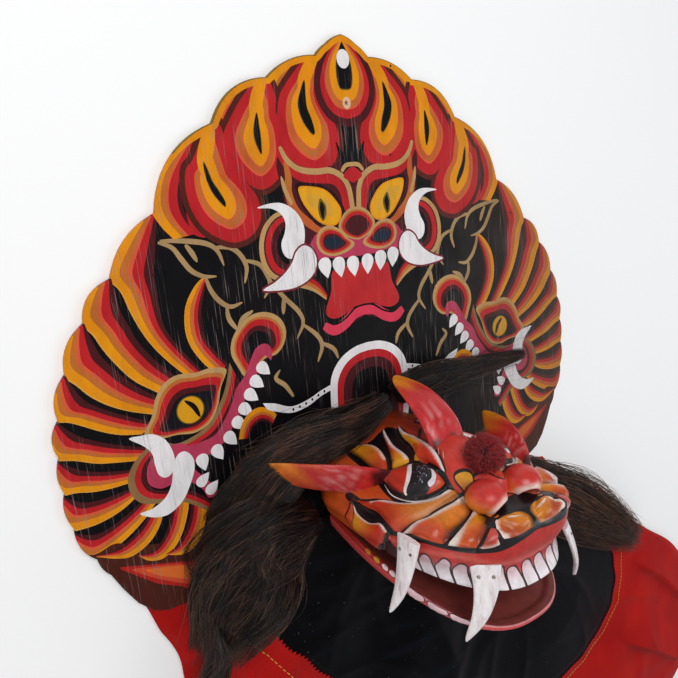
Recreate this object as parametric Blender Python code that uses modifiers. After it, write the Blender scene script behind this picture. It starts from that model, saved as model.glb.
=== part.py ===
"""Barongan mask lying on its back: painted crest board, carved head with a clapping jaw, hair and cloth.

Metres. The board's back lies on the ground at z = 0. +Y runs up the crest to its peak, +X is the
viewer's right when facing the mask, and the snout points up along +Z. Head, horn, ears, fangs and
pom-pom are measured from the board's front face and hang on an empty that stands there.
"""
import math

import bmesh
import bpy
import numpy as np
from mathutils import Vector

# Driving sizes of the crest board
CREST_RISE = 0.32           # top of the painted arch (y = 0) to the crest's peak
BOARD_THICKNESS = 0.006
HAND_HOLE_HALF_WIDTH = 0.050
HAND_HOLE_TOP = -0.082
HAND_HOLE_BOTTOM = -0.172
HANGING_HOLE_RADIUS = 0.0025
HANGING_HOLE_HEIGHT = 0.254
HAND_HOLE_STEPS = 12
HANGING_HOLE_STEPS = 10

# Driving sizes of the carved head, measured from the board's front face
HEAD_BACK = 0.040           # station where the cheeks are full
HEAD_MIDDLE = 0.140         # station through the eyes
HEAD_FRONT = 0.225          # station through the front of the lips
HEAD_WALL = 0.011
NECK_TAPER = 0.16           # share of width lost between the cheeks and the board
CROWN_HEIGHT = -0.080       # y of the crown
CROWN_FALL = 0.021          # how far the nose bridge lies below the crown
BROW_RISE = 0.005           # swelling of the forehead behind the nose
BROW_DEPTH = 0.135
BROW_REACH = 0.025
BRIDGE_START = 0.140        # stretch along which the brow falls to the nose bridge
BRIDGE_END = 0.195

# Driving sizes of the jaw
HINGE_HEIGHT = -0.160       # y of the hinge axis
HINGE_DEPTH = 0.044         # hinge axis in front of the board's face
JAW_LENGTH = 0.193          # hinge axis to the front of the rim
JAW_HALF_WIDTH = 0.0885
JAW_OPEN_ANGLE = math.radians(17.2)
JAW_RIM_BELOW_HINGE = 0.0062
JAW_TAIL = 0.010            # how far the jaw runs on behind its axis
JAW_RECESS = 0.0025
JAW_REAR_DEPTH = 0.036
JAW_FRONT_DEPTH = 0.017
JAW_SQUARENESS = 2.6
JAW_COLUMNS = 17

# Driving sizes of what is fixed on the head
HORN_WIDTH = 0.052
HORN_THICKNESS = 0.018
EAR_WIDTH = 0.050
EAR_THICKNESS = 0.012
EAR_HOLLOW = 0.004          # depth of the hollow along an ear's face
FANG_WIDTH = 0.027
FANG_THICKNESS = 0.0075
POM_POM_RADIUS = 0.0185
TUFT_HEIGHT = 0.06          # unevenness of the yarn as a share of the radius
TUFT_WAVES = (9.0, 8.0, 9.0)

# Driving sizes of the cloth and the hair
CLOTH_THICKNESS = 0.005
CLOTH_GAP = 0.0012          # between two panels lying side by side
FOLD_HEIGHT = 0.014
FOLD_COUNT = 9              # folds round the point they run out from
FOLD_SOURCE = (0.02, -0.16)
FOLD_START = 0.08           # distance from that point at which the folds begin to rise
FOLD_FULL = 0.24
FOLD_PHASE = 1.3
FOLD_TWIST = 3.0            # turn of the folds with distance, in radians a metre

CURVE_SAMPLES = 400         # samples that a U curve is measured with
SAMPLER_ROWS = 61           # finer skin on which the carved forms are set out
SAMPLER_COLUMNS = 81

GAP = 0.0003                # between pieces that touch
FIXTURE_GAP = 0.0005        # between the carved head and what is trimmed to sit on it

# Colours as base colour, roughness and metallic value
PAINT_ORANGE = ((0.55, 0.07, 0.02), 0.45, 0.0)
PAINT_RED = ((0.50, 0.03, 0.02), 0.45, 0.0)
PAINT_MAROON = ((0.10, 0.01, 0.01), 0.55, 0.0)
PAINT_BLACK = ((0.02, 0.015, 0.015), 0.5, 0.0)
PAINT_WHITE = ((0.80, 0.74, 0.72), 0.5, 0.0)
YARN_RED = ((0.16, 0.005, 0.008), 0.95, 0.0)
HAIR_DARK = ((0.018, 0.012, 0.010), 0.6, 0.0)
HAIR_BROWN = ((0.05, 0.022, 0.014), 0.7, 0.0)
SATIN_BLACK = ((0.008, 0.008, 0.010), 0.35, 0.0)
CLOTH_RED = ((0.38, 0.01, 0.012), 0.75, 0.0)


def clear_scene():
    for item in list(bpy.data.objects):
        bpy.data.objects.remove(item, do_unlink=True)


def new_collection(name):
    collection = bpy.data.collections.new(name)
    bpy.context.scene.collection.children.link(collection)
    return collection


def material(name, look):
    colour, roughness, metallic = look
    made = bpy.data.materials.new(name)
    made.use_nodes = True
    shader = made.node_tree.nodes["Principled BSDF"]
    shader.inputs["Base Color"].default_value = (*colour, 1.0)
    shader.inputs["Roughness"].default_value = roughness
    shader.inputs["Metallic"].default_value = metallic
    made.diffuse_color = (*colour, 1.0)
    return made


def add_object(name, mesh, collection, look=None, parent=None):
    made = bpy.data.objects.new(name, mesh)
    collection.objects.link(made)
    if look is not None:
        mesh.materials.append(material(name + "_finish", look))
    if parent is not None:
        made.parent = parent
    return made


def mesh_from_bmesh(name, shape, smooth_angle=math.radians(40)):
    bmesh.ops.recalc_face_normals(shape, faces=shape.faces)
    mesh = bpy.data.meshes.new(name)
    shape.to_mesh(mesh)
    shape.free()
    mesh.shade_smooth()
    mesh.set_sharp_from_angle(angle=smooth_angle)
    return mesh


def smoothstep(low, high, value):
    share = np.clip((value - low) / (high - low), 0.0, 1.0)
    return share * share * (3.0 - 2.0 * share)


def through_keys(keys, values, where):
    """Smooth curve through a few keyed values (cubic Hermite with finite-difference slopes)."""
    keys = np.asarray(keys, float)
    values = np.asarray(values, float)
    where = np.asarray(where, float)
    slopes = np.gradient(values, keys)
    index = np.clip(np.searchsorted(keys, where, side="right") - 1, 0, len(keys) - 2)
    step = keys[index + 1] - keys[index]
    s = (where - keys[index]) / step
    start, end = values[index], values[index + 1]
    rise_in, rise_out = slopes[index] * step, slopes[index + 1] * step
    return (start * (1 + 2 * s) * (1 - s) ** 2 + rise_in * s * (1 - s) ** 2
            + end * s * s * (3 - 2 * s) + rise_out * s * s * (s - 1))


# Crest board

# Notches between the scallops down the right side, as shares of CREST_RISE: x, y and the bulge
# of the scallop that follows.
CREST_NOTCHES = (
    (0.000, 1.000, 0.004), (0.057, 0.972, 0.003), (0.101, 0.936, 0.019), (0.280, 0.869, 0.036),
    (0.472, 0.744, 0.046), (0.676, 0.509, 0.026), (0.825, 0.347, 0.024), (0.914, 0.240, 0.020),
    (0.983, 0.113, 0.017), (1.021, -0.006, 0.016), (1.037, -0.108, 0.011), (1.041, -0.211, 0.012),
    (1.035, -0.318, 0.016), (0.992, -0.430, 0.006),
)
# The plain lower corner, and the straight lower edge that the cloth hides
CREST_CORNER = ((0.965, -0.490), (0.938, -0.550), (0.905, -0.610), (0.865, -0.655), (0.800, -0.685),
                (0.700, -0.710), (0.560, -0.728), (0.400, -0.735), (0.200, -0.735))
SCALLOP_STEPS = 5


def arc_between(start, end, bulge, steps):
    """Points of a round scallop from start up to, not including, end, bulging to the right."""
    start, end = Vector(start), Vector(end)
    chord = end - start
    outward = Vector((-chord.y, chord.x)).normalized()
    if outward.dot(start + end) < 0:
        outward = -outward
    points = []
    for step in range(steps):
        share = step / steps
        points.append(start + chord * share + outward * bulge * 4 * share * (1 - share))
    return points


def crest_outline():
    """Closed outline of the board, right side down and left side back up."""
    right = []
    for here, after in zip(CREST_NOTCHES, CREST_NOTCHES[1:]):
        right += arc_between(here[:2], after[:2], here[2], SCALLOP_STEPS)
    last = CREST_NOTCHES[-1]
    right += arc_between(last[:2], CREST_CORNER[0], last[2], SCALLOP_STEPS)
    right += [Vector(point) for point in CREST_CORNER]
    left = [Vector((-point.x, point.y)) for point in reversed(right[1:])]
    return [point * CREST_RISE for point in right + left]


def hand_hole_outline():
    """Arched hole behind the head: straight foot, half-round top."""
    spring = HAND_HOLE_TOP - HAND_HOLE_HALF_WIDTH
    points = [Vector((side * HAND_HOLE_HALF_WIDTH, HAND_HOLE_BOTTOM)) for side in (-1, 1)]
    for step in range(HAND_HOLE_STEPS + 1):
        angle = math.pi * step / HAND_HOLE_STEPS
        points.append(Vector((HAND_HOLE_HALF_WIDTH * math.cos(angle),
                              spring + HAND_HOLE_HALF_WIDTH * math.sin(angle))))
    return points


def hanging_hole_outline():
    centre = Vector((0.0, HANGING_HOLE_HEIGHT))
    angles = [2 * math.pi * k / HANGING_HOLE_STEPS for k in range(HANGING_HOLE_STEPS)]
    return [centre + HANGING_HOLE_RADIUS * Vector((math.cos(angle), math.sin(angle))) for angle in angles]


def make_crest_board(collection):
    curve = bpy.data.curves.new("crest_board", "CURVE")
    curve.dimensions = "2D"
    curve.fill_mode = "BOTH"
    curve.extrude = BOARD_THICKNESS / 2
    for outline in (crest_outline(), hand_hole_outline(), hanging_hole_outline()):
        spline = curve.splines.new("POLY")
        spline.points.add(len(outline) - 1)
        for point, place in zip(spline.points, outline):
            point.co = (place.x, place.y, 0.0, 1.0)
        spline.use_cyclic_u = True
    board = add_object("crest_board", curve, collection, PAINT_BLACK)
    board.location.z = BOARD_THICKNESS / 2
    return board


# Carved head. Its skin is a family of U-shaped rows, from the edge of the teeth (0) over lip,
# cheek, eye and brow up to the ridge of the crown (1). Each key gives, for one row: share of the
# way up, half width, front, squareness, and the drop at back, middle and front. The drop counts
# from the crown's height low down and from the line of brow and nose bridge higher up.
HEAD_ROWS = (
    (0.00, 0.0940, 0.2325, 2.5, 0.0790, 0.0920, 0.1020),
    (0.12, 0.0965, 0.2245, 2.9, 0.0710, 0.0780, 0.0850),
    (0.20, 0.0985, 0.2305, 3.3, 0.0640, 0.0700, 0.0680),
    (0.27, 0.0965, 0.2305, 3.5, 0.0560, 0.0605, 0.0495),
    (0.36, 0.0950, 0.2200, 3.2, 0.0450, 0.0510, 0.0355),
    (0.48, 0.0870, 0.2100, 2.9, 0.0340, 0.0435, 0.0230),
    (0.62, 0.0680, 0.2010, 2.6, 0.0220, 0.0320, 0.0095),
    (0.78, 0.0430, 0.1950, 2.3, 0.0110, 0.0180, 0.0020),
    (0.90, 0.0200, 0.1920, 2.1, 0.0030, 0.0055, 0.0005),
    (1.00, 0.0000, 0.1900, 2.0, 0.0000, 0.0000, 0.0000),
)
HEAD_ROW_SHARES = (0.0, 0.06, 0.12, 0.16, 0.20, 0.24, 0.28, 0.34, 0.41, 0.48, 0.56, 0.65, 0.75, 0.88, 1.0)
LOW_ROWS_END = 0.20         # rows below this share keep the crown's height as their datum
HIGH_ROWS_START = 0.80
HEAD_COLUMNS = 23           # odd, so that the lining can take every second one
LEAST_SQUARENESS = 2.0      # a row as round as an ellipse
INSET_FULL = 0.30           # share of the way up by which an inset lowers the skin in full

# Broad swellings and hollows of the skin as centre, reach along x, y, z and height
NOSE_BRIDGE = ((0.000, -0.100, 0.184), (0.0130, 0.0200, 0.0280), 0.0060)
CHEEK_HOLLOW = ((0.096, -0.134, 0.096), (0.0160, 0.0100, 0.0300), -0.0070)
CHEEK_SWELL = ((0.084, -0.122, 0.165), (0.0180, 0.0120, 0.0300), 0.0035)
HEAD_SWELLS = (NOSE_BRIDGE, CHEEK_HOLLOW, CHEEK_SWELL)

# A panel's section: share of the way in to its middle line, and share of its height
FLAT_SECTION = ((0.00, 0.40), (0.40, 1.00))
RIDGED_SECTION = ((0.00, 0.35), (0.30, 0.85), (0.65, 1.00))

# Carved panels of one side. Each has a section and height, an outline and the line along its
# middle towards which its top narrows. Places are shares of the way up the skin and of the way
# from the front of the muzzle round to the board.
CARVED_PANELS = {
    "brow_flame_rear": (RIDGED_SECTION, 0.0045, (
        (0.657, 0.863), (0.713, 0.813), (0.763, 0.763), (0.776, 0.695), (0.744, 0.619), (0.685, 0.579),
        (0.640, 0.606), (0.648, 0.674), (0.657, 0.754), (0.647, 0.810)), (
        (0.666, 0.835), (0.711, 0.744), (0.696, 0.628))),
    "brow_flame_middle": (RIDGED_SECTION, 0.0050, (
        (0.885, 0.757), (0.857, 0.692), (0.829, 0.619), (0.815, 0.539), (0.794, 0.492), (0.768, 0.480),
        (0.732, 0.518), (0.705, 0.554), (0.735, 0.574), (0.784, 0.622), (0.820, 0.680), (0.848, 0.726)), (
        (0.871, 0.733), (0.804, 0.614), (0.758, 0.530))),
    "brow_flame_front": (RIDGED_SECTION, 0.0055, (
        (0.944, 0.691), (0.921, 0.609), (0.919, 0.522), (0.895, 0.420), (0.853, 0.344), (0.812, 0.299),
        (0.771, 0.275), (0.776, 0.325), (0.789, 0.391), (0.784, 0.450), (0.822, 0.463), (0.862, 0.522),
        (0.880, 0.589), (0.909, 0.652)), (
        (0.927, 0.658), (0.889, 0.546), (0.848, 0.429), (0.806, 0.349), (0.772, 0.287))),
    "under_eye": (FLAT_SECTION, 0.0035, (
        (0.399, 0.689), (0.499, 0.557), (0.517, 0.432), (0.604, 0.320), (0.701, 0.252), (0.700, 0.216),
        (0.564, 0.302), (0.464, 0.374), (0.307, 0.471), (0.313, 0.497), (0.368, 0.517), (0.441, 0.595)), (
        (0.450, 0.615), (0.452, 0.488), (0.503, 0.389), (0.647, 0.271), (0.699, 0.232))),
    "cheek_rear": (FLAT_SECTION, 0.0035, (
        (0.291, 0.463), (0.337, 0.429), (0.430, 0.372), (0.543, 0.303), (0.638, 0.234), (0.685, 0.206),
        (0.664, 0.196), (0.594, 0.217), (0.499, 0.257), (0.316, 0.333), (0.325, 0.371), (0.316, 0.419)), (
        (0.316, 0.436), (0.393, 0.361), (0.529, 0.286), (0.653, 0.215))),
    "cheek_front": (FLAT_SECTION, 0.0035, (
        (0.293, 0.299), (0.385, 0.237), (0.507, 0.192), (0.596, 0.157), (0.553, 0.152), (0.419, 0.169),
        (0.322, 0.200), (0.268, 0.226), (0.272, 0.256)), (
        (0.305, 0.279), (0.383, 0.214), (0.532, 0.159))),
    "lip_plate_outer": (FLAT_SECTION, 0.0035, (
        (0.270, 0.207), (0.305, 0.190), (0.349, 0.155), (0.316, 0.132), (0.288, 0.103), (0.266, 0.128),
        (0.252, 0.153), (0.249, 0.184), (0.253, 0.204)), (
        (0.267, 0.197), (0.293, 0.163), (0.293, 0.128))),
    "lip_plate_inner": (FLAT_SECTION, 0.0040, (
        (0.376, 0.117), (0.399, 0.082), (0.362, 0.048), (0.296, 0.019), (0.275, 0.068), (0.321, 0.100)), (
        (0.364, 0.096), (0.306, 0.060))),
    "jowl_leaf": (FLAT_SECTION, 0.0040, (
        (0.340, 0.717), (0.285, 0.699), (0.264, 0.663), (0.265, 0.617), (0.307, 0.559), (0.279, 0.530),
        (0.254, 0.517), (0.175, 0.533), (0.005, 0.572), (0.091, 0.676), (0.236, 0.703)), (
        (0.302, 0.705), (0.219, 0.651), (0.217, 0.583), (0.103, 0.557))),
}
EYE_OUTLINE = (
    (0.627, 0.584), (0.688, 0.549), (0.732, 0.495), (0.761, 0.435), (0.765, 0.362), (0.746, 0.310),
    (0.731, 0.278), (0.709, 0.266), (0.651, 0.296), (0.590, 0.347), (0.549, 0.415), (0.555, 0.477),
    (0.585, 0.533))
EYE_MIDDLE = ((0.618, 0.513), (0.649, 0.418), (0.698, 0.322))
EYE_HEIGHT = 0.0085
EYE_SECTION = ((0.00, 0.10), (0.30, 0.60), (0.65, 0.93), (0.90, 1.00))
PANEL_ROOT = 0.0060         # how far a panel's sides run down into the skin
SKIN_RISE = 0.165           # length of the skin from teeth to crown
SKIN_ROUND = 0.290          # length of the skin from the front of the muzzle to the board

# Nose: a round wing on each side, hollowed in front by the nostril, as centre and half axes
NOSE_WING = ((0.0245, -0.1120, 0.1970), (0.0185, 0.0140, 0.0190))
NOSTRIL = ((0.0220, -0.1135, 0.2170), (0.0120, 0.0080, 0.0120))
NOSE_FACETS = (12, 8)
NOSTRIL_FACETS = (10, 6)


def brow_line(depth):
    """Rise of the brow and fall of the nose bridge along the middle, from the crown's height."""
    brow = BROW_RISE * np.exp(-((depth - BROW_DEPTH) / BROW_REACH) ** 2)
    return brow - CROWN_FALL * smoothstep(BRIDGE_START, BRIDGE_END, depth)


def through_stations(depth, back, middle, front):
    """Parabola through the three stations of the head."""
    a, b, c = HEAD_BACK, HEAD_MIDDLE, HEAD_FRONT
    return (back * (depth - b) * (depth - c) / ((a - b) * (a - c))
            + middle * (depth - a) * (depth - c) / ((b - a) * (b - c))
            + front * (depth - a) * (depth - b) / ((c - a) * (c - b)))


def u_curve(half_width, front, squareness, start, count):
    """Half of a U seen from above, from its front on the middle plane to its end at the board."""
    angle = np.linspace(0.0, math.pi / 2, CURVE_SAMPLES)
    x = half_width * np.sin(angle) ** (2.0 / squareness)
    z = start + (front - start) * np.cos(angle) ** (2.0 / squareness)
    run = np.concatenate([[0.0], np.cumsum(np.hypot(np.diff(x), np.diff(z)))])
    wanted = np.linspace(0.0, run[-1], count)
    return np.interp(wanted, run, x), np.interp(wanted, run, z)


def head_skin(shares, columns, start, inset=0.0):
    """Plain skin of the right half of the head, without the carving: array of rows and columns."""
    keys = np.array(HEAD_ROWS)
    grid = np.zeros((len(shares), columns, 3))
    widest = keys[:, 1].max()
    for row, share in enumerate(shares):
        width, front, square, back_drop, middle_drop, front_drop = (
            float(through_keys(keys[:, 0], keys[:, column], share)) for column in range(1, 7))
        width = max(width, 0.0) * (widest - inset) / widest
        x, z = u_curve(width, front - inset, max(square, LEAST_SQUARENESS), start, columns)
        if share >= 1.0:
            x = np.zeros_like(x)
        depth = np.maximum(z, HEAD_BACK)
        y = CROWN_HEIGHT + brow_line(depth) * smoothstep(LOW_ROWS_END, HIGH_ROWS_START, share)
        y = y - through_stations(depth, back_drop, middle_drop, front_drop)
        y = y - inset * smoothstep(0.0, INSET_FULL, share)
        x = x * (1.0 - NECK_TAPER * smoothstep(HEAD_BACK, 0.0, z))
        grid[row] = np.stack([x, y, z], axis=1)
    return grid


def skin_normals(grid):
    """Outward unit normals of a skin grid from its finite differences."""
    along = np.gradient(grid, axis=1)
    across = np.gradient(grid, axis=0)
    normal = np.cross(along, across)
    normal[:, 0, 0] = 0.0
    normal[-1, :, 0] = 0.0
    length = np.linalg.norm(normal, axis=2, keepdims=True)
    normal = normal / np.maximum(length, 1e-12)
    middle = normal[len(normal) // 2, grid.shape[1] // 2]
    return normal if middle[0] > 0 else -normal


def carved(grid, normals):
    """Skin grid with its broad swellings and hollows added."""
    height = np.zeros(grid.shape[:2])
    for centre, reach, swell in HEAD_SWELLS:
        distance = (grid - np.array(centre)) / np.array(reach)
        height = height + swell * np.exp(-(distance ** 2).sum(axis=2))
    return grid + normals * height[..., None]


def skin_sampler():
    """Function that gives place and normal on the swollen skin for a share up and a share round."""
    plain = head_skin(np.linspace(0.0, 1.0, SAMPLER_ROWS), SAMPLER_COLUMNS, GAP)
    grid = carved(plain, skin_normals(plain))
    normals = skin_normals(grid)

    def at(up, around):
        row = min(max(up, 0.0), 1.0) * (SAMPLER_ROWS - 1)
        column = min(max(around, 0.0), 1.0) * (SAMPLER_COLUMNS - 1)
        i, j = min(int(row), SAMPLER_ROWS - 2), min(int(column), SAMPLER_COLUMNS - 2)
        a, b = row - i, column - j
        found = []
        for field in (grid, normals):
            low = field[i, j] * (1 - b) + field[i, j + 1] * b
            high = field[i + 1, j] * (1 - b) + field[i + 1, j + 1] * b
            found.append(low * (1 - a) + high * a)
        return found[0], found[1] / np.linalg.norm(found[1])

    return at


def nearest_on_line(point, line):
    """Nearest point to a point on a polyline, in metres of skin."""
    best = None
    for start, end in zip(line, line[1:]):
        run = end - start
        share = min(max(float((point - start) @ run) / float(run @ run), 0.0), 1.0)
        place = start + run * share
        away = float(np.linalg.norm(point - place))
        if best is None or away < best[0]:
            best = (away, place)
    return best[1]


def panel_shell(shape, at, outline, middle, section, height, grow):
    """Closed shell of one raised panel, grown outwards where it belongs to a cutter."""
    metres = np.array((SKIN_RISE, SKIN_ROUND))
    edge = [np.array(point) * metres for point in outline]
    line = [np.array(point) * metres for point in middle]
    rings = []
    for inward, lift in ((0.0, None),) + section:
        ring = []
        for point in edge:
            pull = nearest_on_line(point, line) - point
            place = point + pull * inward - pull / max(np.linalg.norm(pull), 1e-9) * grow
            spot, normal = at(*(place / metres))
            rise = -PANEL_ROOT if lift is None else height * lift + grow
            ring.append(shape.verts.new(spot + normal * rise))
        rings.append(ring)
    for lower, upper in zip(rings, rings[1:]):
        quads(shape, lower + lower[:1], upper + upper[:1])
    shape.faces.new(rings[0])
    shape.faces.new(rings[-1])


def ellipsoid(shape, centre, half_axes, grow, segments, rings):
    ball = bmesh.ops.create_uvsphere(shape, u_segments=segments, v_segments=rings, radius=1.0)
    for vertex in ball["verts"]:
        vertex.co = Vector([place * (axis + grow) + middle
                            for place, axis, middle in zip(vertex.co, half_axes, centre)])


def make_carving(name, collection, parent, grow):
    """All raised forms of the face as closed shells, one side mirrored to the other."""
    at = skin_sampler()
    shape = bmesh.new()
    for section, height, outline, middle in CARVED_PANELS.values():
        panel_shell(shape, at, outline, middle, section, height, grow)
    panel_shell(shape, at, EYE_OUTLINE, EYE_MIDDLE, EYE_SECTION, EYE_HEIGHT, grow)
    ellipsoid(shape, *NOSE_WING, grow, *NOSE_FACETS)
    return as_cutter(mirrored(name, shape, collection, None, parent))


def make_nostrils(collection, parent):
    shape = bmesh.new()
    ellipsoid(shape, *NOSTRIL, 0.0, *NOSTRIL_FACETS)
    return as_cutter(mirrored("nostrils", shape, collection, None, parent))


def as_cutter(shape_object):
    shape_object.hide_render = True
    shape_object.display_type = "WIRE"
    return shape_object


def combine(target, other, operation):
    step = target.modifiers.new(operation.lower() + "_" + other.name, "BOOLEAN")
    step.operation = operation
    step.object = other
    step.use_self = operation == "UNION"    # neighbouring panels run into each other


def vertex_grid(shape, grid):
    """bmesh vertices for a grid; the last row keeps x = 0 so that the mirror closes it."""
    grid = grid.copy()
    grid[:, 0, 0] = 0.0
    grid[-1, :, 0] = 0.0
    return [[shape.verts.new(point) for point in row] for row in grid]


def quads(shape, first, second):
    """Strip of faces between two rows; where the rows share a vertex the face is a triangle."""
    for corners in zip(first, first[1:], second[1:], second):
        unlike = list(dict.fromkeys(corners))
        if len(unlike) > 2:
            shape.faces.new(unlike)


def flat_faces_only(shape):
    """Splits every bent face into triangles, so that a Boolean cuts it where it really lies."""
    bmesh.ops.triangulate(shape, faces=shape.faces)


def mirrored(name, shape, collection, look, parent):
    flat_faces_only(shape)
    made = add_object(name, mesh_from_bmesh(name, shape), collection, look, parent)
    mirror = made.modifiers.new("other_half", "MIRROR")
    mirror.use_axis = (True, False, False)
    mirror.use_clip = True
    mirror.merge_threshold = 0.00001
    return made


def make_head(collection, parent, carving, nostrils):
    """Hollow upper head: carved outside, plain coarser lining, open at the back and below."""
    outer = head_skin(HEAD_ROW_SHARES, HEAD_COLUMNS, GAP)
    outer = carved(outer, skin_normals(outer))
    outer[:, -1, 2] = GAP
    inner = head_skin(HEAD_ROW_SHARES, HEAD_COLUMNS, GAP, HEAD_WALL)
    shape = bmesh.new()
    skin = vertex_grid(shape, outer)
    lining = vertex_grid(shape, inner[::2, ::2])
    for lower, upper in zip(skin, skin[1:]):
        quads(shape, lower, upper)
    for lower, upper in zip(lining, lining[1:]):
        quads(shape, upper, lower)
    fine_to_coarse(shape, skin[0], lining[0])
    fine_to_coarse(shape, [row[-1] for row in skin], [row[-1] for row in lining])
    head = mirrored("head", shape, collection, PAINT_ORANGE, parent)
    combine(head, carving, "UNION")
    combine(head, nostrils, "DIFFERENCE")
    return head


def fine_to_coarse(shape, fine, coarse):
    """Strip between an edge line and one with half as many steps."""
    for step in range(len(coarse) - 1):
        first, middle, last = fine[2 * step:2 * step + 3]
        shape.faces.new((first, middle, coarse[step]))
        shape.faces.new((middle, coarse[step + 1], coarse[step]))
        shape.faces.new((middle, last, coarse[step + 1]))


def make_head_cutter(collection, parent, carving):
    """Solid in the head's outer form, grown by the gap, that trims what sits on the head."""
    outer = head_skin(HEAD_ROW_SHARES, HEAD_COLUMNS, GAP)
    outer = carved(outer, skin_normals(outer))
    outer = outer + skin_normals(outer) * FIXTURE_GAP
    outer[:, -1, 2] = 0.0
    shape = bmesh.new()
    skin = vertex_grid(shape, outer)
    for lower, upper in zip(skin, skin[1:]):
        quads(shape, lower, upper)
    foot = [shape.verts.new((0.0, vertex.co.y, vertex.co.z)) for vertex in skin[0][1:]]
    quads(shape, [skin[0][0]] + foot, skin[0])
    heel = [shape.verts.new((0.0, row[-1].co.y, row[-1].co.z)) for row in skin[1:-1]]
    quads(shape, [foot[-1]] + heel + [skin[-1][-1]], [row[-1] for row in skin])
    bmesh.ops.remove_doubles(shape, verts=shape.verts, dist=0.000001)
    cutter = as_cutter(mirrored("head_cutter", shape, collection, None, parent))
    combine(cutter, carving, "UNION")
    return cutter


def trim(target, cutter):
    combine(target, cutter, "DIFFERENCE")


# Jaw, in a frame of its own: origin on the hinge, y up, z forward along the rim. Its skin runs from
# the middle of the recessed top over the rim to the keel. Each row gives its share of the width, of
# the length, its drop below the rim as a share of the depth, and its share of the recess.
JAW_ROWS = (
    (0.00, 0.600, 0.00, 1.0), (0.45, 0.800, 0.00, 1.0), (0.90, 0.945, 0.00, 1.0), (0.925, 0.962, 0.00, 0.0),
    (1.00, 1.000, 0.00, 0.0), (1.01, 1.005, 0.18, 0.0), (0.98, 0.985, 0.50, 0.0), (0.88, 0.920, 0.80, 0.0),
    (0.55, 0.720, 1.00, 0.0), (0.00, 0.450, 1.08, 0.0),
)


def jaw_depth(forward):
    """Depth of the jaw's side below its rim."""
    share = smoothstep(0.0, JAW_LENGTH, forward)
    return JAW_REAR_DEPTH + (JAW_FRONT_DEPTH - JAW_REAR_DEPTH) * share


def make_jaw(collection, parent):
    """Scoop with a flat recessed top inside its rim and a rounded underside."""
    shape = bmesh.new()
    lines = []
    for width, length, drop, recess in JAW_ROWS:
        x, z = u_curve(JAW_HALF_WIDTH * width, JAW_LENGTH * length, JAW_SQUARENESS, -JAW_TAIL, JAW_COLUMNS)
        if width == 0.0:
            x = np.zeros_like(x)
        y = -JAW_RIM_BELOW_HINGE - drop * jaw_depth(z) - recess * JAW_RECESS
        x[0] = 0.0
        lines.append([shape.verts.new(point) for point in zip(x, y, z)])
    for lower, upper in zip(lines, lines[1:]):
        quads(shape, lower, upper)
    shape.faces.new([line[-1] for line in lines])
    jaw = mirrored("jaw", shape, collection, PAINT_RED, parent)
    jaw.location = (0.0, HINGE_HEIGHT, HINGE_DEPTH)
    jaw.rotation_euler = (JAW_OPEN_ANGLE, 0.0, 0.0)
    return jaw


# Lofted pieces
def loft(name, rings, start_point, end_point, collection, look, parent=None):
    """Closed skin through rings of equal length, pointed or capped at both ends."""
    shape = bmesh.new()
    loops = [[shape.verts.new(point) for point in ring] for ring in rings]
    count = len(loops[0])
    for first, second in zip(loops, loops[1:]):
        for k in range(count):
            after = (k + 1) % count
            shape.faces.new((first[k], first[after], second[after], second[k]))
    for loop, point, flip in ((loops[0], start_point, True), (loops[-1], end_point, False)):
        if point is None:
            shape.faces.new(list(reversed(loop)) if flip else loop)
            continue
        apex = shape.verts.new(point)
        for k in range(count):
            pair = (loop[k], loop[(k + 1) % count])
            shape.faces.new((*(reversed(pair) if flip else pair), apex))
    return add_object(name, mesh_from_bmesh(name, shape), collection, look, parent)


def spine_frame(points, share, side_hint):
    """Place, side direction and face direction on a smooth spine through points."""
    keys = np.linspace(0.0, 1.0, len(points))
    points = np.array(points)
    near = [np.array([float(through_keys(keys, points[:, axis], value)) for axis in range(3)])
            for value in (max(share - 0.01, 0.0), share, min(share + 0.01, 1.0))]
    along = Vector(near[2] - near[0]).normalized()
    side = Vector(side_hint)
    side = (side - along * side.dot(along)).normalized()
    return Vector(near[1]), side, along.cross(side)


# A blade's form as shares: width at its foot, growth of the width along it, bluntness of its tip
# (the lower the blunter) and thickness left at its tip
HORN_FORM = (0.80, 0.75, 0.55, 0.20)
EAR_FORM = (0.72, 1.15, 0.75, 0.30)
FANG_FORM = (1.00, 0.00, 0.62, 0.45)
BLADE_SIDES = 10
BLADE_STEPS = 9
FANG_SIDES = 8
FANG_STEPS = 7


def blade_rings(spine, side_hint, width, thickness, form, sides, steps, hollow=0.0):
    """Rings of a leaf or claw: elliptical sections that follow the blade's form."""
    foot, growth, bluntness, tip = form
    rings = []
    for step in range(steps):
        share = step / steps
        place, side, face = spine_frame(spine, share, side_hint)
        wide = (foot + growth * share) * (1 - share) ** bluntness
        thick = 1 - (1 - tip) * share
        ring = []
        for k in range(sides):
            angle = 2 * math.pi * k / sides
            across = math.cos(angle) * width / 2 * wide
            lift = math.sin(angle) * thickness / 2 * thick
            if math.sin(angle) > 0:
                lift -= hollow * thick * (1 - math.cos(angle) ** 2)
            ring.append(place + side * across + face * lift)
        rings.append(ring)
    return rings


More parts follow.
